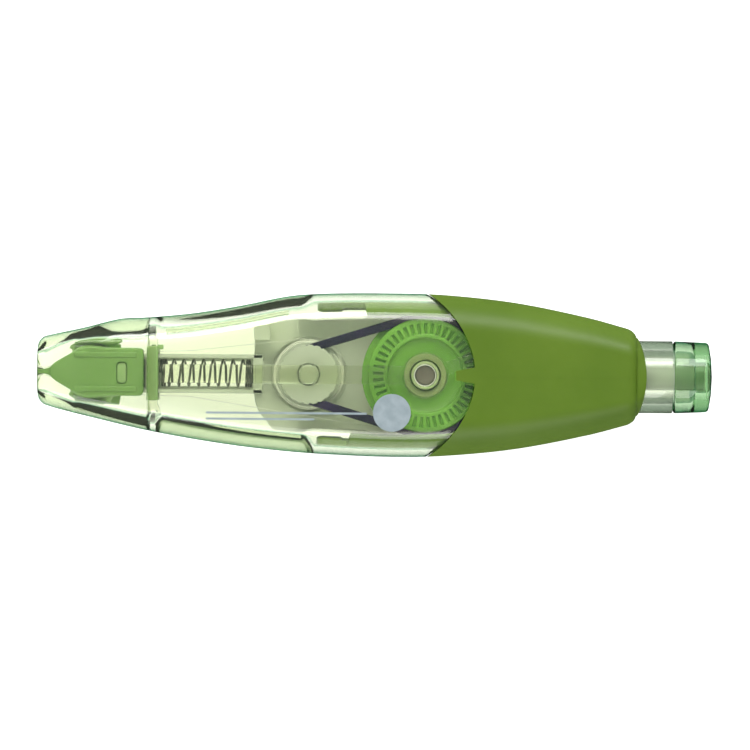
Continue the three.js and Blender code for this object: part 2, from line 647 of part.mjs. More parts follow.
function driveBelt() {
  const loop = beltLoop(0.15 + BELT_WIDTH, THREE.Shape);
  loop.holes.push(beltLoop(0.15, THREE.Path));
  const bottom = GROOVE[0] + 0.1;
  return slab(loop, bottom, bottom + BELT_HEIGHT, 20);
}

// ---------------------------------------------------------------- tape head and tape
const HEAD_Y = 0.25;

function headOutline() {
  const side = [[-64.7, 0.9], [-63.8, 1.8], [-60.8, 3.6], [-58.8, 4.5], [-56.6, 4.8], [-46.1, 4.8]];
  return polygon([
    ...side.map(([x, y]) => [x, HEAD_Y + y]),
    ...[...side].reverse().map(([x, y]) => [x, HEAD_Y - y]),
  ]);
}

// Green head: two cheeks that keep the tape on the tip, joined by a block, with a socket for the neck.
function tapeHead() {
  const { bottom, top, cheek } = HEAD;
  const rear = -46.1;
  const cheeks = [slab(headOutline(), bottom, bottom + cheek), slab(headOutline(), top - cheek, top)];
  const middle = block(-57, rear, HEAD_Y - 2.7, HEAD_Y + 2.7, bottom + 0.5, top - 0.5);
  const railSlots = [1, -1].map((side) => {
    const [near, far] = [side * (NECK.inner - GAP), side * (NECK.half + GAP)].sort((a, b) => a - b);
    return block(NECK.railFront - GAP, rear + 1, near, far, bottom - 1, top - cheek);
  });
  const window = new THREE.Shape().absellipse(-50.5, HEAD_Y - 0.2, 1.1, 2.3, 0, Math.PI * 2);
  return cut(join(...cheeks, middle), ...railSlots, slab(window, top - 0.7, top + 1, 12));
}

const TIP = [[-66.1, 0.3], [-64.6, 0.95], [-61, 2.2], [-57.3, 2.5]];

function applicatorTip() {
  const outline = polygon([
    ...TIP.map(([x, y]) => [x, HEAD_Y + y]),
    ...[...TIP].reverse().map(([x, y]) => [x, HEAD_Y - y]),
  ]);
  return slab(outline, TAPE[0] - 0.05, TAPE[1] + 0.05);
}

// The point where a line from outside touches a circle, on its +Y or -Y side, seen from the nose.
function touch(from, centre, radius, side) {
  const [dx, dy] = [centre.x - from[0], centre.y - from[1]];
  const angle = Math.atan2(dy, dx) + side * Math.asin(radius / Math.hypot(dx, dy));
  return [centre.x - side * radius * Math.sin(angle), centre.y + side * radius * Math.cos(angle)];
}

const TAPE_GUIDES = [[-37, 4.35], [-47.6, 4.1]]; // between them the tape runs straight, through the collar

// Thin tape from the supply coil round the tip and back to the take-up coil, as a closed band.
function tapeRun() {
  const [slack, thickness] = [0.15, 0.15];
  const band = (offset) => {
    const tip = TIP.map(([x, y], i) => [i === 0 ? x - offset : x, y + offset]);
    const low = TAPE_GUIDES.map(([x, y]) => [x, -y - offset]);
    const high = TAPE_GUIDES.map(([x, y]) => [x, y + offset]).reverse();
    return [
      touch(low[0], SUPPLY, COIL.supply + offset, -1), ...low,
      ...[...tip].reverse().map(([x, y]) => [x, HEAD_Y - y]),
      ...tip.map(([x, y]) => [x, HEAD_Y + y]),
      ...high, touch(high[1], TAKEUP, COIL.takeup + offset, 1),
    ];
  };
  const outline = polygon([...band(slack), ...band(slack + thickness).reverse()]);
  return slab(outline, TAPE[0] + 0.05, TAPE[1] - 0.05);
}

// ---------------------------------------------------------------- spring and its collar
const COLLAR = {
  front: NOSE_REAR_X - 0.05,
  rear: -43.2,
  half: 5.4,
  wall: 0.55,
  window: 4.15,
  bottom: 3.85,
  top: 14.1,
};
const SPRING = { front: COLLAR.rear + 0.15, rear: NECK.seatX - 1.05, r: 2.6, wire: 0.42, middleY: 0.15 };

// Collar round the neck: the spring's front seat, with a tongue that hangs into the open neck, thinner
// sides beside the tape, and a slot over the tongue for the bar.
function springCollar() {
  const { front, rear, half, wall, window, bottom, top } = COLLAR;
  const frame = cut(
    block(front, rear, -half, half, bottom, top),
    block(front - 1, rear + 1, -window, window, NECK_FLOOR[0] - GAP, NECK.top + GAP),
    block(front - 1, rear + 1, wall - half, half - wall, TAPE[0] - 0.2, TAPE[1] + 0.2),
  );
  const tongue = block(front + 0.5, rear, -2.7, 2.7, 6, NECK.top + 0.5);
  const slotHalf = BAR_HALF + GAP;
  const barSlot = block(front - 1, rear + 1, -slotHalf, slotHalf, NECK_BAR[0] - GAP, NECK_BAR[1] + GAP);
  const ear = block(rear - 0.2, rear + 1, half - 0.6, half + 0.3, TAPE[1] + 0.4, 13);
  return join(cut(join(frame, tongue), barSlot), ear);
}

// Compression spring along the neck, with closed turns at both ends.
function returnSpring() {
  const [closed, open, steps] = [2.5, 8, 10];
  const turns = closed * 2 + open;
  const length = SPRING.rear - SPRING.front - SPRING.wire;
  const pitch = (length - 2 * closed * SPRING.wire * 1.08) / open;
  const points = Array.from({ length: Math.round(turns * steps) + 1 }, (_, i) => {
    const turn = i / steps;
    const tight = Math.min(turn, closed) + Math.max(turn - closed - open, 0);
    const loose = Math.min(Math.max(turn - closed, 0), open);
    const x = SPRING.front + SPRING.wire / 2 + tight * SPRING.wire * 1.08 + loose * pitch;
    const angle = turn * Math.PI * 2;
    const [side, rise] = [SPRING.r * Math.sin(angle), SPRING.r * Math.cos(angle)];
    return new THREE.Vector3(x, SPRING.middleY + side, MID_Z + rise);
  });
  const path = new THREE.CatmullRomCurve3(points);
  const wire = new THREE.Shape().absarc(0, 0, SPRING.wire / 2, 0, Math.PI * 2);
  return solid(new THREE.ExtrudeGeometry(wire, {
    steps: points.length - 1, extrudePath: path, curveSegments: 3, bevelEnabled: false,
  }));
}

// ---------------------------------------------------------------- assembly
function mesh(name, made, colour) {
  const { vertProperties, triVerts, numProp } = made.getMesh();
  const geometry = new THREE.BufferGeometry();
  const positions = new Float32Array((vertProperties.length / numProp) * 3);
  for (let i = 0; i * numProp < vertProperties.length; i++) {
    positions.set(vertProperties.subarray(i * numProp, i * numProp + 3), i * 3);
  }
  geometry.setAttribute("position", new THREE.BufferAttribute(positions, 3));
  geometry.setIndex(new THREE.BufferAttribute(new Uint32Array(triVerts), 1));
  geometry.computeVertexNormals();
  const piece = new THREE.Mesh(geometry, new THREE.MeshStandardMaterial(COLOURS[colour]));
  piece.name = name;
  return piece;
}

const roller = new THREE.Group();
roller.add(
  mesh("rear_barrel", rearBarrel(), "lime"),
  mesh("front_barrel", frontBarrel(), "clear"),
  mesh("nose_cone", noseCone(), "clear"),
  mesh("head_guide", headGuide(), "leaf"),
  mesh("guide_rail", guideRail(), "clear"),
  mesh("button_tube", buttonTube(), "clear"),
  mesh("button_cap", buttonCap(), "clear"),
  mesh("push_rod", pushRod(), "frosted"),
  mesh("cam_rotor", camRotor(), "white"),
  mesh("latch_sleeve", latchSleeve(), "cream"),
  mesh("spring_collar", springCollar(), "leaf"),
  mesh("return_spring", returnSpring(), "steel"),
  mesh("refill_frame", refillFrame(), "frosted"),
  mesh("refill_bridge", refillBridge(), "clear"),
  mesh("supply_axle", supplyAxle(), "cream"),
  mesh("hub_pin", hubPin(), "grey"),
  mesh("takeup_axle", takeupAxle(), "cream"),
  mesh("supply_bobbin", bobbin(3.1, COIL.supplyCore - 0.15, 12, SUPPLY, 40), "cream"),
  mesh("supply_tape_coil", coil(COIL.supplyCore, COIL.supply, SUPPLY, 48), "white"),
  mesh("supply_pulley", supplyPulley(), "leaf"),
  mesh("clutch_ring", clutchRing(), "cream"),
  mesh("takeup_bobbin", bobbin(2.3, COIL.takeupCore - 0.15, 7.6, TAKEUP, 32), "cream"),
  mesh("takeup_tape_coil", coil(COIL.takeupCore, COIL.takeup, TAKEUP, 36), "white"),
  mesh("takeup_pulley", takeupPulley(), "frosted"),
  mesh("drive_belt", driveBelt(), "belt"),
  mesh("tape_head", tapeHead(), "leaf"),
  mesh("applicator_tip", applicatorTip(), "leaf"),
  mesh("tape_run", tapeRun(), "white"),
);

export default roller;
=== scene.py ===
import math

import bmesh
import bpy
from mathutils import Matrix, Vector


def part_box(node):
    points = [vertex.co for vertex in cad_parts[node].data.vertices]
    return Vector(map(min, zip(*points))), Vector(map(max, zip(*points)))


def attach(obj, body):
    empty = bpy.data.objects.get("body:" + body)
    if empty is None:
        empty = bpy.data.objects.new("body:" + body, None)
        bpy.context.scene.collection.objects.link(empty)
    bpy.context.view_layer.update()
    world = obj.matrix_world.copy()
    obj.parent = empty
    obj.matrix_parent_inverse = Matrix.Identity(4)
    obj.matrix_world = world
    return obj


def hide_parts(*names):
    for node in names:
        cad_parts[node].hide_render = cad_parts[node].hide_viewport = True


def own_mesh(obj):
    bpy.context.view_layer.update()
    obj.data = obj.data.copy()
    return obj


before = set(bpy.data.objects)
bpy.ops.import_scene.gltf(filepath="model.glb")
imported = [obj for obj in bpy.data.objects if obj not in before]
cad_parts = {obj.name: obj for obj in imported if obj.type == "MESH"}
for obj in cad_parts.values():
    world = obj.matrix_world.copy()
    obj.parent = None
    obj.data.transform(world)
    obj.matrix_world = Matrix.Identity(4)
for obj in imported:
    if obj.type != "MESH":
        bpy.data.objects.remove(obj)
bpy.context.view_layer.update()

MM = 0.001


def span(node):
    """The lowest and highest corners of a CAD node, in millimetres."""
    low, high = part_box(node)
    return [v / MM for v in low], [v / MM for v in high]


def centre_of(node):
    low, high = span(node)
    return (low[0] + high[0]) / 2, (low[1] + high[1]) / 2


# ---------------------------------------------------------------- sizes from the frame
NOSE_X = span("nose_cone")[0][0]
BUTTON_END = span("button_cap")[1][0]
MID_Z = (span("rear_barrel")[0][2] + span("rear_barrel")[1][2]) / 2
SUPPLY = centre_of("supply_pulley")
TAKEUP = centre_of("takeup_pulley")
NOSE_REAR = span("front_barrel")[0][0]
BUTTON_R = span("button_cap")[1][1]
CAP_X = span("button_cap")[0][0]
GAP = 0.3  # play between pieces that slide in each other

# ---------------------------------------------------------------- outlines of the case, in millimetres
UPPER_EDGE = [
    (-67.4, 7), (-63, 8), (-58.2, 9.05), (-51, 10.85), (-46, 11.15), (-36.6, 12.05), (-27, 13.65),
    (-17.4, 15.6), (-10, 16.2), (3, 16.35), (13.8, 16.1), (28.2, 14.6), (42.6, 11.75), (50.6, 9.6),
]
LOWER_EDGE = [
    (-67.4, 6), (-63, 7.3), (-56, 9), (-46, 11.3), (-36.6, 13), (-27, 14.4), (-17.4, 15.4),
    (-10, 15.9), (3, 16.35), (13.8, 16.1), (28.2, 14.6), (42.6, 11.75), (50.6, 9.6),
]
HALF_THICKNESS = [(-67.4, 5.6), (-60, 6.6), (-50, 7.5), (-40, 8.15), (-30, 8.65), (-12, 9), (60, 9)]
CORNER = [(-67.4, 3.9), (-55, 5), (-40, 5.8), (-20, 6.5), (30, 6.5), (50.6, 5.2)]
CASE_JOINT = (0.8, 18.8)  # centre and radius of the arc between front and rear barrels
REAR_RIM = (50.2, 1.9, 1.2)  # where the rear rim's rounding starts, its length and its depth
END_FACE = (54, 0.026)  # crest of the rear barrel's domed end, and its curvature across
POINTER = (15.8, 0.95, 1.6)  # tip of the rear barrel's pointer, and its half widths at tip and base
FRONT_WALL, REAR_WALL, NOSE_WALL = 1.25, 1.5, 1.2
NOSE_LIP = (1.6, 1.7)  # length and depth of the rounding at the nose's front
NOSE_INNER = (-60, -45.4)  # inside of the nose round the head, between its mouth and its spigot
SPIGOT_END = -43.6  # rear end of the nose's spigot, inside the front barrel
MOUTH = (0.35, 4, 7)  # middle across, half height and squareness of the nose's mouth
SWELL = (-43.3, -12.6)  # between these the front barrel's walls are thicker inside
ARM = (-11.6, 15.4, 22)  # the rear barrel's arms: hook, root and rear end
ARM_REACH = (0.42, 0.63)  # turn each way round the edge, and what the wide part adds, in radians


def spline(stations):
    """A smooth value along X through a few stations."""
    last = len(stations) - 1
    slope = []
    for i in range(last + 1):
        (x0, v0), (x1, v1) = stations[max(i - 1, 0)], stations[min(i + 1, last)]
        slope.append((v1 - v0) / (x1 - x0))

    def value(x):
        if x <= stations[0][0]:
            return stations[0][1]
        if x >= stations[last][0]:
            return stations[last][1] + slope[last] * (x - stations[last][0])
        i = max(k for k in range(last) if stations[k][0] <= x)
        (x0, v0), (x1, v1) = stations[i], stations[i + 1]
        t, rise = (x - x0) / (x1 - x0), (v1 - v0) / (x1 - x0)
        bend = (slope[i] - rise) * (1 - t) + (rise - slope[i + 1]) * t
        return v0 + rise * (x - x0) + bend * (x1 - x0) * t * (1 - t)

    return value


upper_edge, lower_edge = spline(UPPER_EDGE), spline(LOWER_EDGE)
half_thickness, corner = spline(HALF_THICKNESS), spline(CORNER)
CORNER_STEPS = 24
LAND_STEPS = 8


def steps(start, end, count):
    return [start + (end - start) * i / count for i in range(count + 1)]


def land(flat):
    """Places across the flat of the case, close together round the pointer."""
    _, tip, base = POINTER
    right = [0, tip / 2, tip, (tip + base) / 2, base]
    right += [base + (flat - base) * (i + 1) / LAND_STEPS for i in range(LAND_STEPS)]
    return [-y for y in reversed(right[1:])] + right


def section(x, inset, above=None, below=None, roundings=None):
    """Ring round the case at x, moved in from the outer surface by inset. At its +Y and -Y sides it can
    have insets of its own, above and below, and its own corner roundings."""
    upper, lower = upper_edge(x) - (above or inset), lower_edge(x) - (below or inset)
    middle, half = (upper - lower) / 2, (upper + lower) / 2
    thick = min(half_thickness(x), MID_Z) - inset
    near, far = roundings or [max(corner(x) - inset, 1)] * 2
    flat = half - max(near, far)
    turns = [math.pi / 2 - math.pi * (i + 1) / CORNER_STEPS for i in range(CORNER_STEPS - 1)]
    right = [(middle + half - near + near * math.cos(a), MID_Z + thick * math.sin(a)) for a in turns]
    left = [(middle - half + far - far * math.cos(a), MID_Z + thick * math.sin(a)) for a in reversed(turns)]
    top = [(middle + y, MID_Z + thick) for y in land(flat)]
    bottom = [(middle + y, MID_Z - thick) for y in reversed(land(flat))]
    return [(x, y, z) for y, z in top + right + bottom + left]


def at_edge(edge, inset, start, share):
    """Ring between the section at start and a slanting edge, whose x depends on y."""
    ring = []
    centre, radius = CASE_JOINT
    for i, (_, y, _) in enumerate(section(centre + radius / 2, inset)):
        x = start + (edge(y) - start) * share
        ring.append((x, *section(x, inset)[i][1:]))
    return ring


def case_joint(y):
    """Where the front barrel ends: an arc, with a notch for the pointer."""
    centre, radius = CASE_JOINT
    tip_x, tip, base = POINTER
    arc = centre + math.sqrt(max(radius**2 - y * y, 0))
    if abs(y) >= base:
        return arc
    return tip_x + (arc - tip_x) * max((abs(y) - tip) / (base - tip), 0)


# ---------------------------------------------------------------- meshes
def finish_piece(name, bm, material, body, replaced=(), sharp=35):
    """A mesh object from a bmesh in millimetres, shaded smooth except at its sharp edges."""
    bmesh.ops.remove_doubles(bm, verts=bm.verts, dist=1e-4)
    bmesh.ops.recalc_face_normals(bm, faces=bm.faces)
    bm.transform(Matrix.Scale(MM, 4))
    mesh = bpy.data.meshes.new(name)
    bm.to_mesh(mesh)
    bm.free()
    mesh.polygons.foreach_set("use_smooth", [True] * len(mesh.polygons))
    mesh.set_sharp_from_angle(angle=math.radians(sharp))
    piece = bpy.data.objects.new(name, mesh)
    bpy.context.scene.collection.objects.link(piece)
    mesh.materials.append(material)
    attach(piece, body)
    if replaced:
        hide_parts(*replaced)
    return piece


def skin(bm, rings, closed=False, caps=True):
    """Quads between rings, with a flat end at each side or the last ring joined to the first."""
    rows = [[bm.verts.new(p) for p in ring] for ring in rings]
    count = len(rings[0])
    pairs = list(zip(rows, rows[1:])) + ([(rows[-1], rows[0])] if closed else [])
    for first, second in pairs:
        for k in range(count):
            after = (k + 1) % count
            bm.faces.new((first[k], first[after], second[after], second[k]))
    if caps and not closed:
        bm.faces.new(rows[0])
        bm.faces.new(rows[-1])


def tube_of(rings):
    bm = bmesh.new()
    skin(bm, rings, closed=True)
    return bm


def rounded(points, radius, parts=4, closed=True):
    """The outline with each corner turned into a short curve."""
    result = []
    for i, point in enumerate(points):
        here = Vector(point)
        if not closed and i in (0, len(points) - 1):
            result.append(tuple(here))
            continue
        before, after = Vector(points[i - 1]) - here, Vector(points[(i + 1) % len(points)]) - here
        cut = min(radius, before.length * 0.45, after.length * 0.45)
        a, b = here + before.normalized() * cut, here + after.normalized() * cut
        for t in steps(0, 1, parts):
            result.append(tuple(a * (1 - t) ** 2 + here * 2 * t * (1 - t) + b * t * t))
    return result


def lathe(profile, centre, segments=96, axis="Z"):
    """Solid of revolution: the profile lists (radius, height), or is a function of the turn, 0 to 1."""
    bm = bmesh.new()
    rings = []
    for i in range(segments):
        turn = i / segments
        outline = profile(turn) if callable(profile) else profile
        a = turn * math.tau
        if axis == "Z":
            rings.append([(centre[0] + r * math.cos(a), centre[1] + r * math.sin(a), z) for r, z in outline])
        else:
            rings.append([(x, centre[0] + r * math.cos(a), centre[1] + r * math.sin(a)) for r, x in outline])
    skin(bm, rings, closed=True)
    bmesh.ops.dissolve_degenerate(bm, dist=1e-5, edges=bm.edges)
    return bm


def area_of(outline):
    pairs = zip(outline, outline[1:] + outline[:1])
    return sum(a[0] * b[1] - b[0] * a[1] for a, b in pairs) / 2


def drawn_in(outline, distance):
    """The outline moved inwards, corner by corner."""
    turn = 1 if area_of(outline) > 0 else -1
    count = len(outline)
    moved = []
    for i, point in enumerate(outline):
        before, after = Vector(outline[i - 1]), Vector(outline[(i + 1) % count])
        along = (after - before).normalized()
        moved.append((point[0] - turn * along.y * distance, point[1] + turn * along.x * distance))
    return moved


def prism(outline, bottom, top, bevel=0.0, parts=3):
    """Upright solid on an outline in X and Y, with rounded rims."""
    levels = [(bottom, 0.0), (top, 0.0)]
    if bevel:
        arc = [(bevel * (1 - math.sin(a)), bevel * (1 - math.cos(a))) for a in steps(0, math.pi / 2, parts)]
        levels = [(bottom + rise, inset) for rise, inset in reversed(arc)]
        levels += [(top - rise, inset) for rise, inset in arc]
    bm = bmesh.new()
    skin(bm, [[(x, y, z) for x, y in drawn_in(outline, inset)] for z, inset in levels])
    return bm


def block(x0, x1, y0, y1, z0, z1, bevel=0.15, parts=2):
    bm = bmesh.new()
    bmesh.ops.create_cube(bm, size=1)
    size = Matrix.Diagonal((x1 - x0, y1 - y0, z1 - z0, 1))
    bm.transform(Matrix.Translation(((x0 + x1) / 2, (y0 + y1) / 2, (z0 + z1) / 2)) @ size)
    if bevel:
        bmesh.ops.bevel(bm, geom=bm.edges[:], offset=bevel, segments=parts, profile=0.5, affect="EDGES")
    return bm


def combine(first, *others, operation="UNION"):
    """One solid from several by exact booleans."""
    made = []
    for i, bm in enumerate((first, *others)):
        bmesh.ops.recalc_face_normals(bm, faces=bm.faces)
        mesh = bpy.data.meshes.new(f"scratch_{i}")
        bm.to_mesh(mesh)
        bm.free()
        made.append(bpy.data.objects.new(f"scratch_{i}", mesh))
        bpy.context.scene.collection.objects.link(made[-1])
    for other in made[1:]:
        modifier = made[0].modifiers.new("join", "BOOLEAN")
        modifier.operation = operation
        modifier.solver = "EXACT"
        modifier.object = other
    graph = bpy.context.evaluated_depsgraph_get()
    result = bmesh.new()
    result.from_mesh(made[0].evaluated_get(graph).to_mesh())
    for scratch in made:
        mesh = scratch.data
        bpy.data.objects.remove(scratch)
        bpy.data.meshes.remove(mesh)
    return result


def circle(radius, centre, count=48):
    return [
        (centre[0] + radius * math.cos(a), centre[1] + radius * math.sin(a))
        for a in (math.tau * i / count for i in range(count))
    ]


# ---------------------------------------------------------------- materials
def linear(r, g, b):
    """Display colour, 0 to 255, as the linear values that a shader takes."""
    values = [v / 255 for v in (r, g, b)]
    return tuple(v / 12.92 if v <= 0.04045 else ((v + 0.055) / 1.055) ** 2.4 for v in values)


def new_material(name, colour, roughness, **sockets):
    material = bpy.data.materials.new(name)
    material.use_nodes = True
    shader = material.node_tree.nodes["Principled BSDF"]
    shader.inputs["Base Color"].default_value = (*colour, 1)
    shader.inputs["Roughness"].default_value = roughness
    for socket, value in sockets.items():
        shader.inputs[socket.replace("_", " ")].default_value = value
    return material, shader


def node(material, kind, **values):
    made = material.node_tree.nodes.new(kind)
    for key, value in values.items():
        if hasattr(made, key):
            setattr(made, key, value)
        else:
            made.inputs[key.replace("_", " ")].default_value = value
    return made


def link(material, source, target):
    material.node_tree.links.new(source, target)


def noise_of(material, scale, detail=3.0):
    """Noise in the object's own space, so many features to the metre."""
    place = node(material, "ShaderNodeTexCoord")
    texture = node(material, "ShaderNodeTexNoise", Scale=scale, Detail=detail)
    link(material, place.outputs["Object"], texture.inputs["Vector"])
    return texture.outputs["Fac"]


def vary_colour(material, shader, colour, other, scale):
    """Base colour drifting between two close colours."""
    ramp = node(material, "ShaderNodeValToRGB")
    for stop, position, shown in zip(ramp.color_ramp.elements, (0.35, 0.65), (colour, other)):
        stop.position, stop.color = position, (*shown, 1)
    link(material, noise_of(material, scale), ramp.inputs["Fac"])
    link(material, ramp.outputs["Color"], shader.inputs["Base Color"])


def vary_roughness(material, shader, low, high, scale):
    reach = node(material, "ShaderNodeMapRange")
    reach.inputs["To Min"].default_value = low
    reach.inputs["To Max"].default_value = high
    link(material, noise_of(material, scale), reach.inputs["Value"])
    link(material, reach.outputs["Result"], shader.inputs["Roughness"])


def grain(material, shader, scale, strength, distance=0.00002):
    """Fine surface texture."""
    bump = node(material, "ShaderNodeBump")
    bump.inputs["Strength"].default_value = strength
    bump.inputs["Distance"].default_value = distance
    link(material, noise_of(material, scale, 4.0), bump.inputs["Height"])
    link(material, bump.outputs["Normal"], shader.inputs["Normal"])


def moulded(name, colour, other, roughness, subsurface=0.0, glow=0.0):
    """Moulded plastic: slow drift of tone, satin gloss and a faint orange-peel skin; glow is the share of
    light that passes through."""
    made, shader = new_material(name, colour, roughness)
    vary_colour(made, shader, colour, other, 60)
    vary_roughness(made, shader, roughness - 0.06, roughness + 0.08, 900)
    grain(made, shader, 2600, 0.25)
    shader.inputs["Transmission Weight"].default_value = glow
    if subsurface:
        shader.inputs["Subsurface Weight"].default_value = subsurface
        shader.inputs["Subsurface Radius"].default_value = (0.6, 1.0, 0.4)
        shader.inputs["Subsurface Scale"].default_value = 0.002
    return made


CLEAR_ROUGHNESS = 0.03
CLEAR_SHARE = 0.985  # of the light that isn't mirrored; the rest is the haze of moulded plastic
CLEAR_SHADOW = 0.9  # how much of the tint's brightness is left in the shadow


def clear(name, tint, edge, density, absorb, turns=(0.36, 0.62, 0.82)):
    """Clear plastic: refracts, darkens with depth and lets light through; towards its edges it carries
    painted shade, a colour ramp on how far the surface leans away that stands in for light lost along long
    grazing paths.
    The turns say how far the surface leans away where the tint ends, where it is mixed and where the painted
    edge shade begins."""
    made, shader = new_material(name, tint, CLEAR_ROUGHNESS, IOR=1.49)
    shader.inputs["Transmission Weight"].default_value = CLEAR_SHARE
    # Painted shade: the base colour goes from the tint to the dark edge colour as the surface leans away from
    # the incoming ray.
    rim = node(made, "ShaderNodeLayerWeight", Blend=0.5)
    ramp = node(made, "ShaderNodeValToRGB")
    stops = ramp.color_ramp.elements
    stops[0].position, stops[0].color = turns[0], (*tint, 1)
    stops[1].position, stops[1].color = turns[2], (*edge, 1)
    middle = stops.new(turns[1])
    middle.color = (*[t * 0.6 + e * 0.4 for t, e in zip(tint, edge)], 1)
    link(made, rim.outputs["Facing"], ramp.inputs["Fac"])
    link(made, ramp.outputs["Color"], shader.inputs["Base Color"])
    vary_roughness(made, shader, CLEAR_ROUGHNESS * 0.5, CLEAR_ROUGHNESS * 1.6, 350)
    grain(made, shader, 500, 0.05, 0.00001)
    tree = made.node_tree
    output = tree.nodes["Material Output"]
    path = node(made, "ShaderNodeLightPath")
    straight = node(made, "ShaderNodeBsdfTransparent")
    straight.inputs["Color"].default_value = (*[t * CLEAR_SHADOW for t in tint], 1)
    mix = node(made, "ShaderNodeMixShader")
    link(made, path.outputs["Is Shadow Ray"], mix.inputs["Fac"])
    link(made, shader.outputs["BSDF"], mix.inputs[1])
    link(made, straight.outputs["BSDF"], mix.inputs[2])
    link(made, mix.outputs["Shader"], output.inputs["Surface"])
    volume = node(made, "ShaderNodeVolumeAbsorption")
    volume.inputs["Color"].default_value = (*absorb, 1)
    volume.inputs["Density"].default_value = density
    link(made, volume.outputs["Volume"], output.inputs["Volume"])
    return made


def rubber():
    colour, other = linear(22, 12, 54), linear(44, 16, 76)
    made, shader = new_material("belt_rubber", colour, 0.5, Specular_IOR_Level=0.2)
    vary_colour(made, shader, colour, other, 90)
    vary_roughness(made, shader, 0.42, 0.62, 1500)
    grain(made, shader, 5200, 0.4)
    return made


def wire():
    colour, other = linear(92, 92, 88), linear(128, 128, 122)
    made, shader = new_material("spring_wire", colour, 0.3, Metallic=1.0)
    vary_colour(made, shader, colour, other, 1500)
    vary_roughness(made, shader, 0.22, 0.42, 4000)
    grain(made, shader, 6000, 0.25)
    return made


def film():
    """Tape: matt white coating with a fine grain."""
    colour, other = linear(244, 244, 238), linear(226, 227, 220)
    made, shader = new_material("tape_film", colour, 0.6)
    vary_colour(made, shader, colour, other, 300)
    grain(made, shader, 3500, 0.4)
    return made


def silver():
    colour, other = linear(196, 206, 214), linear(178, 190, 198)
    made, shader = new_material("silver_ink", colour, 0.35, Metallic=0.35)
    vary_colour(made, shader, colour, other, 500)
    grain(made, shader, 9000, 0.3)
    return made


LIME = moulded("lime_plastic", linear(90, 120, 16), linear(98, 127, 24), 0.5, 0.05)
LEAF = moulded("leaf_plastic", linear(111, 166, 62), linear(119, 172, 71), 0.36, 0.15)
SOFT_LEAF = moulded("leaf_soft", linear(114, 152, 80), linear(122, 158, 90), 0.4, 0.2)
PALE_LEAF = moulded("leaf_pale", linear(140, 172, 112), linear(148, 178, 120), 0.4, 0.2)
FROSTED = moulded("frosted_plastic", linear(228, 233, 222), linear(220, 226, 213), 0.5, glow=0.42)
CREAM = moulded("cream_plastic", linear(176, 186, 146), linear(166, 178, 138), 0.38, 0.3)
# GREY colours only the pin down the supply bore; its darkness is partly painted shade for that hole.
GREY = moulded("grey_plastic", linear(120, 110, 106), linear(110, 100, 98), 0.5)
WHITE = moulded("white_plastic", linear(228, 230, 222), linear(220, 223, 214), 0.36, 0.2)
# The second colour given to each clear plastic is painted shade for its grazing edges, not a colour of the
# plastic itself.
CLEAR = clear("clear_green", linear(245, 246, 235), linear(46, 126, 86), 110, (0.71, 0.81, 0.57))
CLEAR_GREY = clear("clear_grey", linear(232, 235, 224), linear(98, 114, 98), 120, (0.6, 0.68, 0.55),
                   (0.1, 0.22, 0.4))
CLEAR_CAP = clear("clear_cap", linear(197, 210, 186), linear(36, 102, 72), 170, (0.52, 0.76, 0.52),
                  (0.2, 0.42, 0.7))
BELT = rubber()
STEEL = wire()
TAPE = film()
INK = silver()


# ---------------------------------------------------------------- case
def inner_section(x):
    """Inside of the front barrel: its walls are thicker and more upright in front of the arms."""
    swell = min(max((x - SWELL[0]) / 0.8, 0), max((SWELL[1] - x) / 1.5, 0), 1)
    plain = corner(x) - FRONT_WALL
    roundings = [plain + (target - plain) * swell for target in (4.1, 2.2)]
    return section(x, FRONT_WALL, FRONT_WALL + 0.3 * swell, FRONT_WALL + 1.15 * swell, roundings)


def front_shell():
    start, end = NOSE_REAR, 8
    xs = steps(start, -12.4, 44) + steps(-12, end, 16)
    shares = steps(0, 1, 8)[1:]
    outer = [section(x, 0) for x in xs] + [at_edge(case_joint, 0, end, s) for s in shares]
    inner = [inner_section(x) for x in xs] + [at_edge(case_joint, FRONT_WALL, end, s) for s in shares]
    finish_piece("front_shell", tube_of(outer + inner[::-1]), CLEAR, "front_case",
                 ["front_barrel"])


def around(ring, middle, radius_at, x_at):
    """The ring's points moved out from a middle to another curve, at the same angles."""
    moved = []
    for _, y, z in ring:
        a = math.atan2(z - MID_Z, y - middle)
        r = radius_at(a)
        moved.append((x_at(r * math.cos(a)), middle + r * math.cos(a), MID_Z + r * math.sin(a)))
    return moved


def mouth_ring(x, half_y):
    """Ring round the nose's mouth, a square with soft corners."""
    middle, half_z, power = MOUTH

    def radius(a):
        wide, high = abs(math.cos(a)) / half_y, abs(math.sin(a)) / half_z
        return (wide**power + high**power) ** (-1 / power)

    return around(section(x, 0), middle, radius, lambda _: x)


def nose_shell():
    seam, front = NOSE_REAR - GAP / 2, NOSE_X
    length, depth = NOSE_LIP
    outer = [section(x, 0) for x in steps(seam, front + length, 34)]
    outer += [section(front + length * (1 - math.sin(a)), depth * (1 - math.cos(a)))
              for a in steps(0, math.pi / 2, 5)[1:]]
    mouth = [mouth_ring(x, half) for x, half in ((front, 3.8), (front + 0.7, 4.1))]
    wall = spline([(-60, 1.3), (-56, 1.6), (-52, 2.3), (-48, 2.4), (-45, 2.3)])
    rounding = spline([(-60, 1.8), (-55, 2.4), (-45, 3)])
    inner = [section(x, NOSE_WALL, wall(x), NOSE_WALL + 0.4, (rounding(x), rounding(x) - 0.3))
             for x in steps(*NOSE_INNER, 14)]
    inner += [section(SPIGOT_END, 2.3, 2.5, 2.5, (3, 2.6))]
    inner += [section(x, FRONT_WALL + GAP) for x in (SPIGOT_END, seam)]
    finish_piece("nose_shell", tube_of(outer + mouth + inner), CLEAR, "front_case",
                 ["nose_cone"], sharp=28)


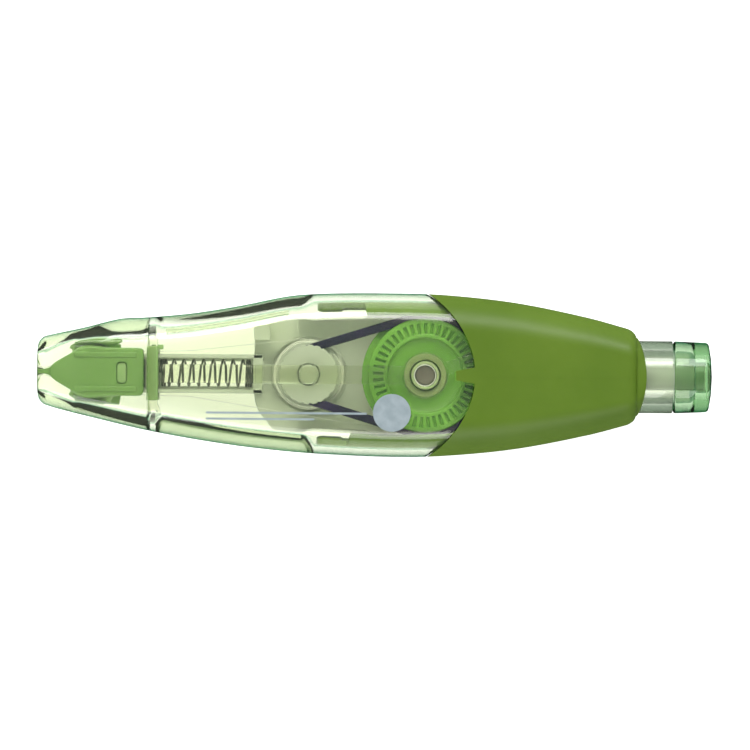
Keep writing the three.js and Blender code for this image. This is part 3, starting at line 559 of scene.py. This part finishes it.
def rear_shell():
    bore = BUTTON_R + GAP
    start = 21
    rim_x, length, depth = REAR_RIM
    crest, curve = END_FACE
    shares = steps(1, 0, 6)
    joint = lambda y: case_joint(y) + GAP
    outer = [at_edge(joint, 0, start, s) for s in shares]
    outer += [section(x, 0) for x in steps(start + 1, rim_x, 24)]
    outer += [section(rim_x + length * math.sin(a), depth * (1 - math.cos(a)))
              for a in steps(0, math.pi / 2, 6)[1:]]
    hole = around(outer[-1], 0, lambda _: bore, lambda y: crest - curve * y * y)
    face = []
    for share in steps(0, 1, 5)[1:]:
        row = []
        for (xa, ya, za), (_, yb, zb) in zip(outer[-1], hole):
            y, z = ya + (yb - ya) * share, za + (zb - za) * share
            bulge = crest - curve * y * y
            row.append((xa + (bulge - xa) * min(share * 2, 1), y, z))
        face.append(row)
    inner = [around(outer[-1], 0, lambda _: bore, lambda _: 50.8), section(50.4, REAR_WALL)]
    inner += [section(x, REAR_WALL) for x in steps(46, start + 1, 10)]
    inner += [at_edge(joint, REAR_WALL, start, s) for s in shares[::-1]]
    finish_piece("rear_shell", tube_of(outer + face + inner), LIME, "rear_case",
                 ["rear_barrel"], sharp=40)
    top = span("rear_barrel")[1][2]
    line = block(21.6, 50.6, -0.36, -0.26, top - 0.1, top + 0.015, 0)
    finish_piece("parting_line", line, LIME, "rear_case")


def barrel_arm(side, name, narrow_to):
    """Arm of the rear barrel, inside the front barrel's wall: narrow at its hook, then wide."""
    hook, root, end = ARM
    reach, extra = ARM_REACH
    hook_rear = -6.4
    rows = []
    for x in steps(hook, end, 84):
        tip = math.sqrt(max(1 - max(1 - (x - hook) / 1.4, 0) ** 2, 0.02))
        widen = min(max((x - narrow_to) / 0.6, 0), 1)
        outer_inset = FRONT_WALL + GAP if x < root else REAR_WALL - 0.2
        inner_inset = 3 if x < hook_rear else 2.6
        angles = steps(-reach * tip, reach * tip + extra * widen, 12)
        row = [edge_point(x, outer_inset + 0.4 * max(a, 0), side, a) for a in angles]
        row += [edge_point(x, inner_inset, side, a) for a in reversed(angles)]
        rows.append(row)
    bm = bmesh.new()
    skin(bm, rows)
    finish_piece(name, bm, LIME, "rear_case", sharp=50)


def edge_point(x, inset, side, angle):
    """Point on one long edge of the case's section."""
    upper, lower = upper_edge(x), lower_edge(x)
    thick = min(half_thickness(x), MID_Z) - inset
    rounding = corner(x) - inset
    flat = (upper + lower) / 2 - inset - rounding
    y = (upper - lower) / 2 + side * (flat + rounding * math.cos(angle))
    return x, y, MID_Z + thick * math.sin(angle)


def guide_rail():
    low, high = span("guide_rail")
    thickness = 1.4
    rows = []
    for x in steps(low[0], high[0], 24):
        top = upper_edge(x) - FRONT_WALL - GAP - 0.35
        bottom = top - thickness
        outline = rounded([(top, low[2]), (top, high[2]), (bottom, high[2]), (bottom, low[2])], 0.25)
        rows.append([(x, y, z) for y, z in outline])
    bm = bmesh.new()
    skin(bm, rows)
    finish_piece("guide_rib", bm, CLEAR, "front_case", ["guide_rail"])


def nose_guide():
    low, high = span("head_guide")
    rear, front, top = high[0], low[0], high[2]
    upper = [(front, 5.4), (front + 1.5, 6.7), (front + 4.5, 7.5), (rear - 0.9, 7.95), (rear, 7.2),
             (rear - 0.5, 5.9), (rear - 1.8, 5.4)]
    lower = [(front, -4.95), (front + 1.2, -5.9), (front + 3.5, -6.3), (front + 6.3, -6.2),
             (front + 5.9, -4.95)]
    for name, side in (("guide_cheek_upper", upper), ("guide_cheek_lower", lower)):
        cheek = prism(rounded(side, 0.7, 5), 6.4, top, 0.3)
        finish_piece(name, cheek, SOFT_LEAF, "front_case")
    posts = [block(-57, -54, y0, y1, 4.2, 6.6, 0) for y0, y1 in ((5.4, 6.3), (-5.8, -4.95))]
    solid = combine(block(-60.2, -51, -5, 5.7, low[2], 4.4, 0.1), *posts)
    finish_piece("nose_guide", solid, SOFT_LEAF, "front_case", ["head_guide"], sharp=45)


# ---------------------------------------------------------------- button and latch
def button():
    low, high = span("button_tube")
    wall = 1.8
    tube = rounded([(BUTTON_R - wall, low[0]), (BUTTON_R, low[0]), (BUTTON_R, high[0]),
                    (BUTTON_R - wall, high[0])], 0.15)
    body = lathe(tube, (0, MID_Z), 128, "X")
    tabs = [block(48.4, 50.2, *sorted((side * (BUTTON_R - 0.5), side * high[1])), MID_Z - 2, MID_Z + 2)
            for side in (-1, 1)]
    finish_piece("button_sleeve", combine(body, *tabs), CLEAR_GREY, "button",
                 ["button_tube"])
    end = BUTTON_END
    skirt = [(5.3, CAP_X), (6.9, CAP_X), (BUTTON_R, CAP_X + 0.3), (6.95, end - 1.2), (6.6, end - 0.75),
             (4, end - 0.3)]
    hollow = [(0, end), (0, end - 1.5), (3.1, end - 1.5), (3.1, end - 3.4), (4.9, end - 3.6),
              (5.3, end - 4.4)]
    profile = rounded(skirt, 0.3, 4, False) + hollow
    finish_piece("button_crown", lathe(profile, (0, MID_Z), 128, "X"), CLEAR_CAP, "button",
                 ["button_cap"])


def latch():
    rod_low, rod_high = span("push_rod")
    front, crown = rod_low[0] + 3.4, 4.5
    rod = [(0, rod_low[0]), (1.4, rod_low[0]), (1.4, front), (crown, front), (crown, front + 2.4),
           (2.6, front + 3.8), (2.6, rod_high[0]), (0, rod_high[0])]
    teeth = saw_teeth(2.8, crown, front)
    finish_piece("push_stem", combine(lathe(rod, (0, MID_Z), 64, "X"), *teeth), FROSTED, "button",
                 ["push_rod"])
    low, high = span("cam_rotor")
    bore, outer, notches = 1.7, high[1], 4
    ring = lathe(rounded([(bore, low[0]), (outer, low[0]), (outer, high[0]), (bore, high[0])], 0.12),
                 (0, MID_Z), 64, "X")
    for i in range(notches):
        notch = block(low[0] - 1, high[0] + 1, -0.6, 0.6, outer - 0.6, outer + 1, 0)
        notch.transform(turn_x((i + 0.5) * math.tau / notches))
        ring = combine(ring, notch, operation="DIFFERENCE")
    finish_piece("cam_ring", ring, WHITE, "rotor", ["cam_rotor"])
    low, high = span("latch_sleeve")
    sleeve_x, inner, outer = low[0] + 0.8, 5.2, 6.4
    tube = lathe([(inner, sleeve_x), (outer, sleeve_x), (outer, high[0]), (inner, high[0])], (0, MID_Z), 64,
                 "X")
    plate = bmesh.new()
    skin(plate, [section(sleeve_x + 4.2, REAR_WALL + GAP), section(sleeve_x + 5.6, REAR_WALL + GAP)])
    opening = lathe([(0, sleeve_x), (6, sleeve_x), (6, high[0]), (0, high[0])], (0, MID_Z), 64, "X")
    flange = combine(plate, opening, operation="DIFFERENCE")
    sleeve = combine(tube, flange, *saw_teeth(inner, outer, sleeve_x))
    finish_piece("latch_tube", sleeve, CREAM, "rear_case", ["latch_sleeve"])


def turn_x(angle):
    """Turn about the case's long axis, for a solid that is built at height 0."""
    return Matrix.Translation((0, 0, MID_Z)) @ Matrix.Rotation(angle, 4, "X")


def saw_teeth(inner, outer, x, teeth=8, height=0.8):
    """Teeth that point to -X, each with one steep side, on a ring between two radii."""
    made = []
    pitch = math.tau / teeth
    for i in range(teeth):
        turns = steps(i * pitch, (i + 0.9) * pitch, 4)
        bm = bmesh.new()
        rows = []
        for k, a in enumerate(turns):
            tip = x - height + (height - 0.1) * k / 4
            ends = [(inner, x + 0.2), (outer, x + 0.2), (outer, tip), (inner, tip)]
            rows.append([(at, r * math.cos(a), MID_Z + r * math.sin(a)) for r, at in ends])
        skin(bm, rows)
        made.append(bm)
    return made


# ---------------------------------------------------------------- refill
SUPPLY_BORE, TAKEUP_BORE = 3.1, 2.3  # radii of the holes that turn on the two posts
SUPPLY_COIL, TAKEUP_COIL = 11.7, 7  # outer radii of the two coils of tape


def tray():
    """Plate, rim, neck and tail of the refill, in one piece."""
    low, high = span("refill_frame")
    plate, floor_z, rim_top = (4.4, 5.4), 4.7, 10.9
    front_x, rear_x = -24.2, 24.6
    neck_rear, neck_in, neck_out = -22.4, 3.1, 3.9  # rear end, inside and outside of the neck's rails

    def outline(inset):
        front, rear = front_x + inset, rear_x - inset
        back = [(-15.1, 11.3 - inset), (-1.4, 11.9 - inset), (0, 12.95 - inset), (13, 12.95 - inset),
                (16.5, 11.9 - inset), (22.4 - inset, 8.6), (rear, 5.5)]
        upper = [(front, 7.2), (front + 1.8, 9.1), (-19.6, 10.4)] + back
        lower = [(front, -5), (front + 0.9, -7.6), (-21, -9.6), (-18.4, -10.8)]
        return rounded(upper + [(x, -y) for x, y in reversed(back)] + lower[::-1], 1.2, 6)

    base = prism(outline(0), *plate, 0.2)
    wall = combine(prism(outline(0), plate[1] - 0.2, rim_top, 0.15), prism(outline(0.6), 4, 12),
                   block(-25, -15.5, -13, 13, 5, 12, 0), operation="DIFFERENCE")
    floor = combine(block(low[0], -23.2, -neck_out, neck_out, floor_z, plate[1] - 0.03, 0.1),
                    block(-42.6, -25, -2.5, 2.5, 3, 7, 0), operation="DIFFERENCE")
    pad = block(front_x, -21, 6.8, 9.4, plate[1] - 0.2, 8, 0.2)
    rails = []
    for side in (1, -1):
        near, far = sorted((side * neck_in, side * neck_out))
        rails.append(block(-48.2, -45.8, near, far, 5.2, 11, 0.1))
        rails.append(block(-45.9, neck_rear, near, far, 5.2, high[2], 0.12))
    seat = block(-24.3, neck_rear, -neck_out, neck_out, 5.2, high[2], 0.12)
    tail = lathe([(0, 24.2), (2.8, 24.2), (2.8, high[0]), (1.8, high[0]), (1.8, high[0] - 1.1),
                  (0, high[0] - 1.1)], (0, MID_Z), 48, "X")
    body = combine(base, wall, floor, pad, *rails, seat, tail)
    bores = [prism(circle(SUPPLY_BORE, SUPPLY), 3, 7), prism(circle(TAKEUP_BORE, TAKEUP), 3, 7)]
    body = combine(body, *bores, operation="DIFFERENCE")
    finish_piece("refill_tray", body, FROSTED, "refill", ["refill_frame"], sharp=30)


def bridge():
    low, high = span("refill_bridge")
    half, top, bottom = 1.85, high[2], high[2] - 0.8
    step, step_rear, neck_z = -23.8, -22.4, 12.6
    neck = block(low[0], step_rear, -half, half, neck_z, neck_z + 0.6, 0.12)
    riser = block(step, step_rear, -half, half, neck_z, top, 0.12)
    bar = block(step, SUPPLY[0] - 2.8, -half, half, bottom, top, 0.12)
    ring = prism(circle(4.6, SUPPLY), bottom, top, 0.12)
    arm = block(3.7, 14.3, -1.3, 1.3, bottom, top, 0.12)
    arm.transform(Matrix.Translation((SUPPLY[0], SUPPLY[1], 0)) @ Matrix.Rotation(math.radians(18), 4, "Z"))
    post = block(23, 24.3, 3.4, 5.6, low[2], top, 0.1)
    body = combine(neck, riser, bar, ring, arm, post)
    body = combine(body, prism(circle(SUPPLY_BORE, SUPPLY), bottom - 1, top + 1), operation="DIFFERENCE")
    finish_piece("clear_bridge", body, CLEAR, "refill", ["refill_bridge"], sharp=30)


def hub():
    low, high = span("supply_axle")
    bore, post, foot = 2.25, 2.8, 3.9
    profile = rounded([(bore, low[2]), (foot, low[2]), (foot, low[2] + 0.6), (post, low[2] + 0.6),
                       (post, high[2]), (bore, high[2])], 0.12)
    finish_piece("hub_post", lathe(profile, SUPPLY), CREAM, "refill", ["supply_axle"])
    # Grey pin deep in the supply bore: its grey is partly painted shade, put there so the hole looks as dark
    # as the shadow down it.
    low, high = span("hub_pin")
    top = high[2]
    pin = [(0, low[2]), (2, low[2]), (2, top - 0.3), (1.7, top), (0.9, top - 0.1), (0, top - 0.3)]
    finish_piece("hub_core", lathe(pin, SUPPLY, 64), GREY, "refill", ["hub_pin"])
    low, high = span("takeup_axle")
    post, foot, top = 2, 3, high[2]
    profile = [(0, low[2]), (foot, low[2]), (foot, low[2] + 0.6), (post, low[2] + 0.6), (post, top - 0.4),
               (1.6, top), (0, top)]
    finish_piece("takeup_post", lathe(profile, TAKEUP, 64), FROSTED, "refill",
                 ["takeup_axle"])


def reels():
    for name, centre, bore, core, coil, body, plastic, slot_name in (
        ("supply", SUPPLY, SUPPLY_BORE, 5.05, SUPPLY_COIL, "supply_reel", CREAM, "cream_plastic"),
        ("takeup", TAKEUP, TAKEUP_BORE, 6.05, TAKEUP_COIL, "takeup_reel", FROSTED, "frosted_plastic")):
        low, high = span(f"{name}_bobbin")
        flange = high[1]
        profile = rounded([(bore, low[2]), (flange, low[2]), (flange, low[2] + 0.75), (core, low[2] + 0.75),
                           (core, high[2]), (bore, high[2])], 0.15)
        finish_piece(f"{name}_spool", lathe(profile, centre), plastic, body, [f"{name}_bobbin"])
        low, high = span(f"{name}_tape_coil")
        finish_piece(f"{name}_roll", wound(core + 0.15, coil, low[2], high[2], centre), TAPE, body,
                     [f"{name}_tape_coil"])


def wound(inner, outer, bottom, top, centre):
    """Coil of tape: its edges show fine steps where the turns lie a little high or low."""
    count = 14
    radii = steps(inner, outer, count)
    upper = [(r, top - 0.05 * (i % 2) - 0.03 * (i % 3)) for i, r in enumerate(radii)]
    lower = [(r, bottom + 0.05 * (i % 2) + 0.03 * (i % 3)) for i, r in enumerate(radii)]
    return lathe(lower + upper[::-1], centre)


def wheel():
    """Big pulley: groove for the belt, a ring of fine ribs, and a dished middle."""
    low, high = span("supply_pulley")
    bottom, top = low[2], high[2]
    floor, shelf = bottom + 0.6, bottom + 2.0
    ribs, inner, outer, groove = 45, 8.35, 10.3, 0.55
    recess = top - 0.75

    def profile(turn):
        share = (turn * ribs) % 1
        drop = groove if 0.04 < share < 0.46 else 0
        return [
            (SUPPLY_BORE, bottom), (12.45, bottom), (12.6, bottom + 0.15), (12.6, floor - 0.1), (12.5, floor),
            (10.7, floor), (10.7, shelf), (11.25, shelf), (11.4, shelf + 0.15), (11.4, top - 0.3),
            (11.2, top - 0.06), (outer + 0.12, top), (outer, top - drop), (inner, top - drop),
            (inner - 0.1, top), (inner - 0.2, top + 0.05), (7.7, top + 0.05), (7.55, top - 0.05),
            (7.35, recess + 0.15), (7.1, recess), (5.6, recess - 0.12), (4.6, recess - 0.12), (4.45, recess),
            (SUPPLY_BORE, recess),
        ]

    bm = lathe(profile, SUPPLY, ribs * 12)
    finish_piece("drive_wheel", bm, LEAF, "supply_drive", ["supply_pulley"], sharp=30)
    low, high = span("clutch_ring")
    reach = high[0] - SUPPLY[0]
    ring = rounded([(SUPPLY_BORE, low[2]), (reach, low[2]), (reach, high[2]), (SUPPLY_BORE, high[2])], 0.15)
    finish_piece("clutch_collar", lathe(ring, SUPPLY), CREAM, "supply_drive",
                 ["clutch_ring"])


def small_pulley():
    """Take-up pulley: groove for the belt under a finely toothed flange."""
    low, high = span("takeup_pulley")
    bottom = low[2]
    teeth, reach = 24, 5.95

    def profile(turn):
        rim = reach - (0.2 if 0.1 < (turn * teeth) % 1 < 0.42 else 0)
        return [(TAKEUP_BORE, bottom), (6.4, bottom), (6.55, bottom + 0.1), (6.55, bottom + 0.5),
                (6.4, bottom + 0.6), (3.9, bottom + 0.6), (3.9, bottom + 2), (5.2, bottom + 2),
                (rim, bottom + 2.05), (rim, bottom + 2.4), (rim - 0.1, high[2]), (TAKEUP_BORE, high[2])]

    bm = lathe(profile, TAKEUP, teeth * 10)
    finish_piece("takeup_wheel", bm, FROSTED, "takeup_reel", ["takeup_pulley"], sharp=30)


def belt():
    """Rubber belt of rounded square section, straight between the two pulleys."""
    low, high = span("drive_belt")
    z, half_height, half_width = (low[2] + high[2]) / 2, (high[2] - low[2]) / 2, 0.85
    big, small = high[1] - half_width, TAKEUP[0] - low[0] - half_width
    lean = math.acos((big - small) / (SUPPLY[0] - TAKEUP[0]))
    path = []
    for a in steps(lean - math.pi, math.pi - lean, 80):
        path.append((SUPPLY[0] + big * math.cos(a), SUPPLY[1] + big * math.sin(a), a))
    for a in steps(math.pi - lean, math.pi + lean, 36):
        path.append((TAKEUP[0] + small * math.cos(a), TAKEUP[1] + small * math.sin(a), a))
    profile = rounded([(-half_width, -half_height), (half_width, -half_height), (half_width, half_height),
                       (-half_width, half_height)], 0.3)
    rings = [[(x + u * math.cos(a), y + u * math.sin(a), z + v) for u, v in profile] for x, y, a in path]
    finish_piece("belt_loop", tube_of(rings), BELT, "refill", ["drive_belt"], sharp=60)


HEAD_Y = 0.25  # the head sits a little to +Y of the case's middle
TIP = [(-66.1, 0.3), (-64.6, 0.95), (-61, 2.2), (-57.3, 2.5)]  # half outline of the wedge
TAPE_GUIDES = [(-47.6, 4.1), (-37, 4.35)]  # where the tape runs past the neck, on each side


def head():
    """Head that holds the tape: two cheeks on a core, with ridges and a sunk patch on top, and its wedge."""
    low, high = span("tape_head")
    cheek = 1.1
    side = [(-64.7, 0.9), (-63.8, 1.8), (-60.8, 3.6), (-58.8, 4.5), (-56.6, 4.8), (-46.1, 4.8)]
    outline = [(x, HEAD_Y + y) for x, y in side] + [(x, HEAD_Y - y) for x, y in reversed(side)]
    smooth = rounded(outline, 1.4, 6)
    cheeks = [prism(smooth, bottom, bottom + cheek, 0.35, 4) for bottom in (low[2], high[2] - cheek)]
    middle = block(-57, -46.1, HEAD_Y - 2.7, HEAD_Y + 2.7, low[2] + 0.5, high[2] - 0.5, 0)
    ridges = [block(-60, -47.5, HEAD_Y + y - 0.55, HEAD_Y + y + 0.55, high[2] - 0.5, high[2] + 0.22, 0.2, 3)
              for y in (-3.4, 3.4)]
    body = combine(*cheeks, middle, *ridges)
    window = prism(rounded([(-51.6, -2.2), (-49.4, -2.2), (-49.4, 2.3), (-51.6, 2.3)], 1.0, 6), high[2] - 0.7,
                   high[2] + 1)
    slots = [block(-48.5, -45, *sorted((s * 2.8, s * 4.2)), low[2] - 1, high[2] - cheek, 0) for s in (1, -1)]
    body = combine(body, window, *slots, operation="DIFFERENCE")
    finish_piece("head_body", body, SOFT_LEAF, "refill", ["tape_head"], sharp=30)
    patch = rounded([(-51.4, -2), (-49.6, -2), (-49.6, 2.1), (-51.4, 2.1)], 0.8, 6)
    finish_piece("head_patch", prism(patch, high[2] - 0.69, high[2] - 0.3, 0.1), PALE_LEAF, "refill")
    low, high = span("applicator_tip")
    points = [(x, HEAD_Y + y) for x, y in TIP] + [(x, HEAD_Y - y) for x, y in reversed(TIP)]
    finish_piece("tip_wedge", prism(rounded(points, 0.25), low[2], high[2], 0.08), SOFT_LEAF, "refill",
                 ["applicator_tip"])


def touch(point, centre, radius, side):
    """Where a line from a point outside touches a circle, on its +Y or -Y side."""
    dx, dy = centre[0] - point[0], centre[1] - point[1]
    a = math.atan2(dy, dx) + side * math.asin(radius / math.hypot(dx, dy))
    return centre[0] - side * radius * math.sin(a), centre[1] + side * radius * math.cos(a)


def tape():
    """Tape from the supply coil, round the tip and back to the take-up coil."""
    low, high = span("tape_run")

    def band(offset):
        outer = [(x - offset if i == 0 else x, y + offset) for i, (x, y) in enumerate(TIP)]
        down = [(x, -y - offset) for x, y in reversed(TAPE_GUIDES)]
        up = [(x, y + offset) for x, y in TAPE_GUIDES]
        return ([touch(down[0], SUPPLY, SUPPLY_COIL + offset, -1)] + down
                + [(x, HEAD_Y - y) for x, y in reversed(outer)] + [(x, HEAD_Y + y) for x, y in outer]
                + up + [touch(up[1], TAKEUP, TAKEUP_COIL + offset, 1)])

    outline = band(0.17) + band(0.26)[::-1]
    finish_piece("tape_band", prism(outline, low[2], high[2]), TAPE, "refill", ["tape_run"], sharp=20)


def collar():
    """Frame round the neck that the spring pushes on, with a tongue under the bridge and an ear."""
    low, high = span("spring_collar")
    front, rear = low[0], high[0] - 1
    half = -low[1]
    body = block(front, rear, -half, half, low[2], high[2], 0.25, 3)
    window = block(front - 1, rear + 2, -4.15, 4.15, 4.4, 12.5, 0)
    sides = block(front - 1, rear + 2, 0.55 - half, half - 0.55, 6.8, 11.2, 0)
    frame_part = combine(body, window, sides, operation="DIFFERENCE")
    tongue = block(front + 0.5, rear, -2.7, 2.7, 6, 12.7, 0.15)
    slotted = combine(combine(frame_part, tongue), block(front - 1, rear + 2, -2.15, 2.15, 12.3, 13.5, 0),
                      operation="DIFFERENCE")
    ear = block(rear - 0.2, high[0], half - 0.6, high[1], 11.4, 13, 0.15)
    finish_piece("spring_seat", combine(slotted, ear), PALE_LEAF, "rear_case",
                 ["spring_collar"], sharp=30)


def spring():
    """Compression spring with closed turns at both ends."""
    low, high = span("return_spring")
    wire_r = 0.23
    radius = (high[2] - low[2]) / 2 - wire_r
    middle = ((low[1] + high[1]) / 2, (low[2] + high[2]) / 2)
    closed, opened, per_turn, sides = 2.5, 8, 40, 12  # closed turns at each end, open turns, facets
    turns = closed * 2 + opened
    first, last = low[0] + wire_r, high[0] - wire_r
    tight_pitch = wire_r * 2.1
    pitch = (last - first - 2 * closed * tight_pitch) / opened
    rings = []
    for i in range(int(turns * per_turn) + 1):
        turn = i / per_turn
        tight = min(turn, closed) + max(turn - closed - opened, 0)
        loose = min(max(turn - closed, 0), opened)
        x = first + tight * tight_pitch + loose * pitch
        a = turn * math.tau
        out = Vector((0, math.sin(a), math.cos(a)))
        centre = Vector((x, middle[0], middle[1])) + out * radius
        along = Vector((1, 0, 0))
        rings.append([tuple(centre + out * wire_r * math.cos(b) + along * wire_r * math.sin(b))
                      for b in (math.tau * k / sides for k in range(sides))])
    bm = bmesh.new()
    skin(bm, rings)
    coil = finish_piece("coil_spring", bm, STEEL, "rear_case", ["return_spring"])
    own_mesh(coil)


# ---------------------------------------------------------------- plain silver print on the case
def print_marks():
    top = span("front_barrel")[1][2]
    sheet = (top + 0.005, top + 0.03)
    badge, radius = (3.4, -7.5), 3.75
    start, half = -33.5, 0.2
    finish_piece("badge_disc", prism(circle(radius, badge, 72), *sheet), INK, "front_case")
    for name, end, y in (("stripe_long", -1.6, -7.7), ("stripe_short", -12, -8.9)):
        line = block(start, end, y - half, y + half, *sheet, 0)
        finish_piece(name, line, INK, "front_case")


# ---------------------------------------------------------------- studio
def studio():
    """World that the camera sees as white, and the object as pale walls under a dark teal ceiling."""
    horizon, walls, ceiling = (0.12, 0.34, 0.24), (0.75, 0.75, 0.75), (0.09, 0.25, 0.19)
    world = bpy.data.worlds.new("studio")
    bpy.context.scene.world = world
    world.use_nodes = True
    tree = world.node_tree
    tree.nodes.clear()
    place = tree.nodes.new("ShaderNodeTexCoord")
    split = tree.nodes.new("ShaderNodeSeparateXYZ")
    ramp = tree.nodes.new("ShaderNodeValToRGB")
    stops = ramp.color_ramp.elements
    stops[0].position, stops[0].color = 0.0, (*horizon, 1)
    stops[1].position, stops[1].color = 1.0, (*ceiling, 1)
    for position, colour in ((0.22, (0.16, 0.38, 0.29)), (0.5, walls), (0.86, (0.7, 0.7, 0.7)),
                             (0.965, ceiling)):
        stops.new(position).color = (*colour, 1)
    shown = tree.nodes.new("ShaderNodeBackground")
    shown.inputs["Color"].default_value = (1, 1, 1, 1)
    lit = tree.nodes.new("ShaderNodeBackground")
    lit.inputs["Strength"].default_value = 0.55
    path = tree.nodes.new("ShaderNodeLightPath")
    mix = tree.nodes.new("ShaderNodeMixShader")
    output = tree.nodes.new("ShaderNodeOutputWorld")
    for source, target in (
        (place.outputs["Generated"], split.inputs["Vector"]), (split.outputs["Z"], ramp.inputs["Fac"]),
        (ramp.outputs["Color"], lit.inputs["Color"]), (path.outputs["Is Camera Ray"], mix.inputs["Fac"]),
        (lit.outputs["Background"], mix.inputs[1]), (shown.outputs["Background"], mix.inputs[2]),
        (mix.outputs["Shader"], output.inputs["Surface"])):
        tree.links.new(source, target)


def area_light(name, place, size, power):
    """Rectangular light that faces the middle of the object."""
    data = bpy.data.lights.new(name, "AREA")
    data.shape = "RECTANGLE"
    data.size, data.size_y = size
    data.energy = power
    lamp = bpy.data.objects.new(name, data)
    lamp.location = place
    aim = Vector((0, 0, MID_Z * MM)) - Vector(place)
    lamp.rotation_euler = aim.to_track_quat("-Z", "Y").to_euler()
    bpy.context.scene.collection.objects.link(lamp)


def floor():
    """White paper, bright to the camera and through the clear plastic, but dark in what is mirrored."""
    bm = bmesh.new()
    bmesh.ops.create_grid(bm, x_segments=1, y_segments=1, size=0.3)
    mesh = bpy.data.meshes.new("floor")
    bm.to_mesh(mesh)
    bm.free()
    plane = bpy.data.objects.new("floor", mesh)
    plane.location.z = -0.0001
    bpy.context.scene.collection.objects.link(plane)
    made, shader = new_material("paper", (0.86, 0.86, 0.86), 0.8)
    shader.inputs["Emission Color"].default_value = (1, 1, 1, 1)
    shader.inputs["Emission Strength"].default_value = 0.85
    grain(made, shader, 900, 0.05)
    unlit = node(made, "ShaderNodeBsdfDiffuse", Color=(0.05, 0.06, 0.05, 1))
    path = node(made, "ShaderNodeLightPath")
    mix = node(made, "ShaderNodeMixShader")
    mirrored = node(made, "ShaderNodeMath", operation="SUBTRACT", use_clamp=True)
    link(made, path.outputs["Is Glossy Ray"], mirrored.inputs[0])
    link(made, path.outputs["Is Transmission Ray"], mirrored.inputs[1])
    link(made, mirrored.outputs["Value"], mix.inputs["Fac"])
    link(made, shader.outputs["BSDF"], mix.inputs[1])
    link(made, unlit.outputs["BSDF"], mix.inputs[2])
    link(made, mix.outputs["Shader"], made.node_tree.nodes["Material Output"].inputs["Surface"])
    mesh.materials.append(made)


def camera():
    """Straight down on the flat side from 1.2 m, 150 mm across, turned a little with the object."""
    data = bpy.data.cameras.new("camera")
    seen, distance, turn = 0.150, 1.2, 0.45
    data.sensor_width = 36
    data.lens = data.sensor_width * distance / seen
    data.clip_start, data.clip_end = 0.05, 10
    eye = bpy.data.objects.new("camera", data)
    eye.location = (0, 0, distance + MID_Z * MM)
    eye.rotation_euler = (0, 0, math.radians(turn))
    bpy.context.scene.collection.objects.link(eye)
    bpy.context.scene.camera = eye


camera()
front_shell()
nose_shell()
rear_shell()
barrel_arm(1, "upper_arm", -2.2)
barrel_arm(-1, "lower_arm", -5.4)
guide_rail()
nose_guide()
button()
latch()
tray()
bridge()
hub()
reels()
wheel()
small_pulley()
belt()
head()
tape()
collar()
spring()
print_marks()
studio()
floor()
area_light("key", (0.02, 0.5, 0.42), (0.6, 0.3), 4.0)
area_light("fill", (-0.1, -0.5, 0.36), (0.5, 0.3), 1.9)
BOUNCES = 24
cycles = bpy.context.scene.cycles
cycles.max_bounces = BOUNCES
cycles.transmission_bounces = BOUNCES
cycles.transparent_max_bounces = BOUNCES
bpy.context.scene.view_settings.view_transform = "Standard"
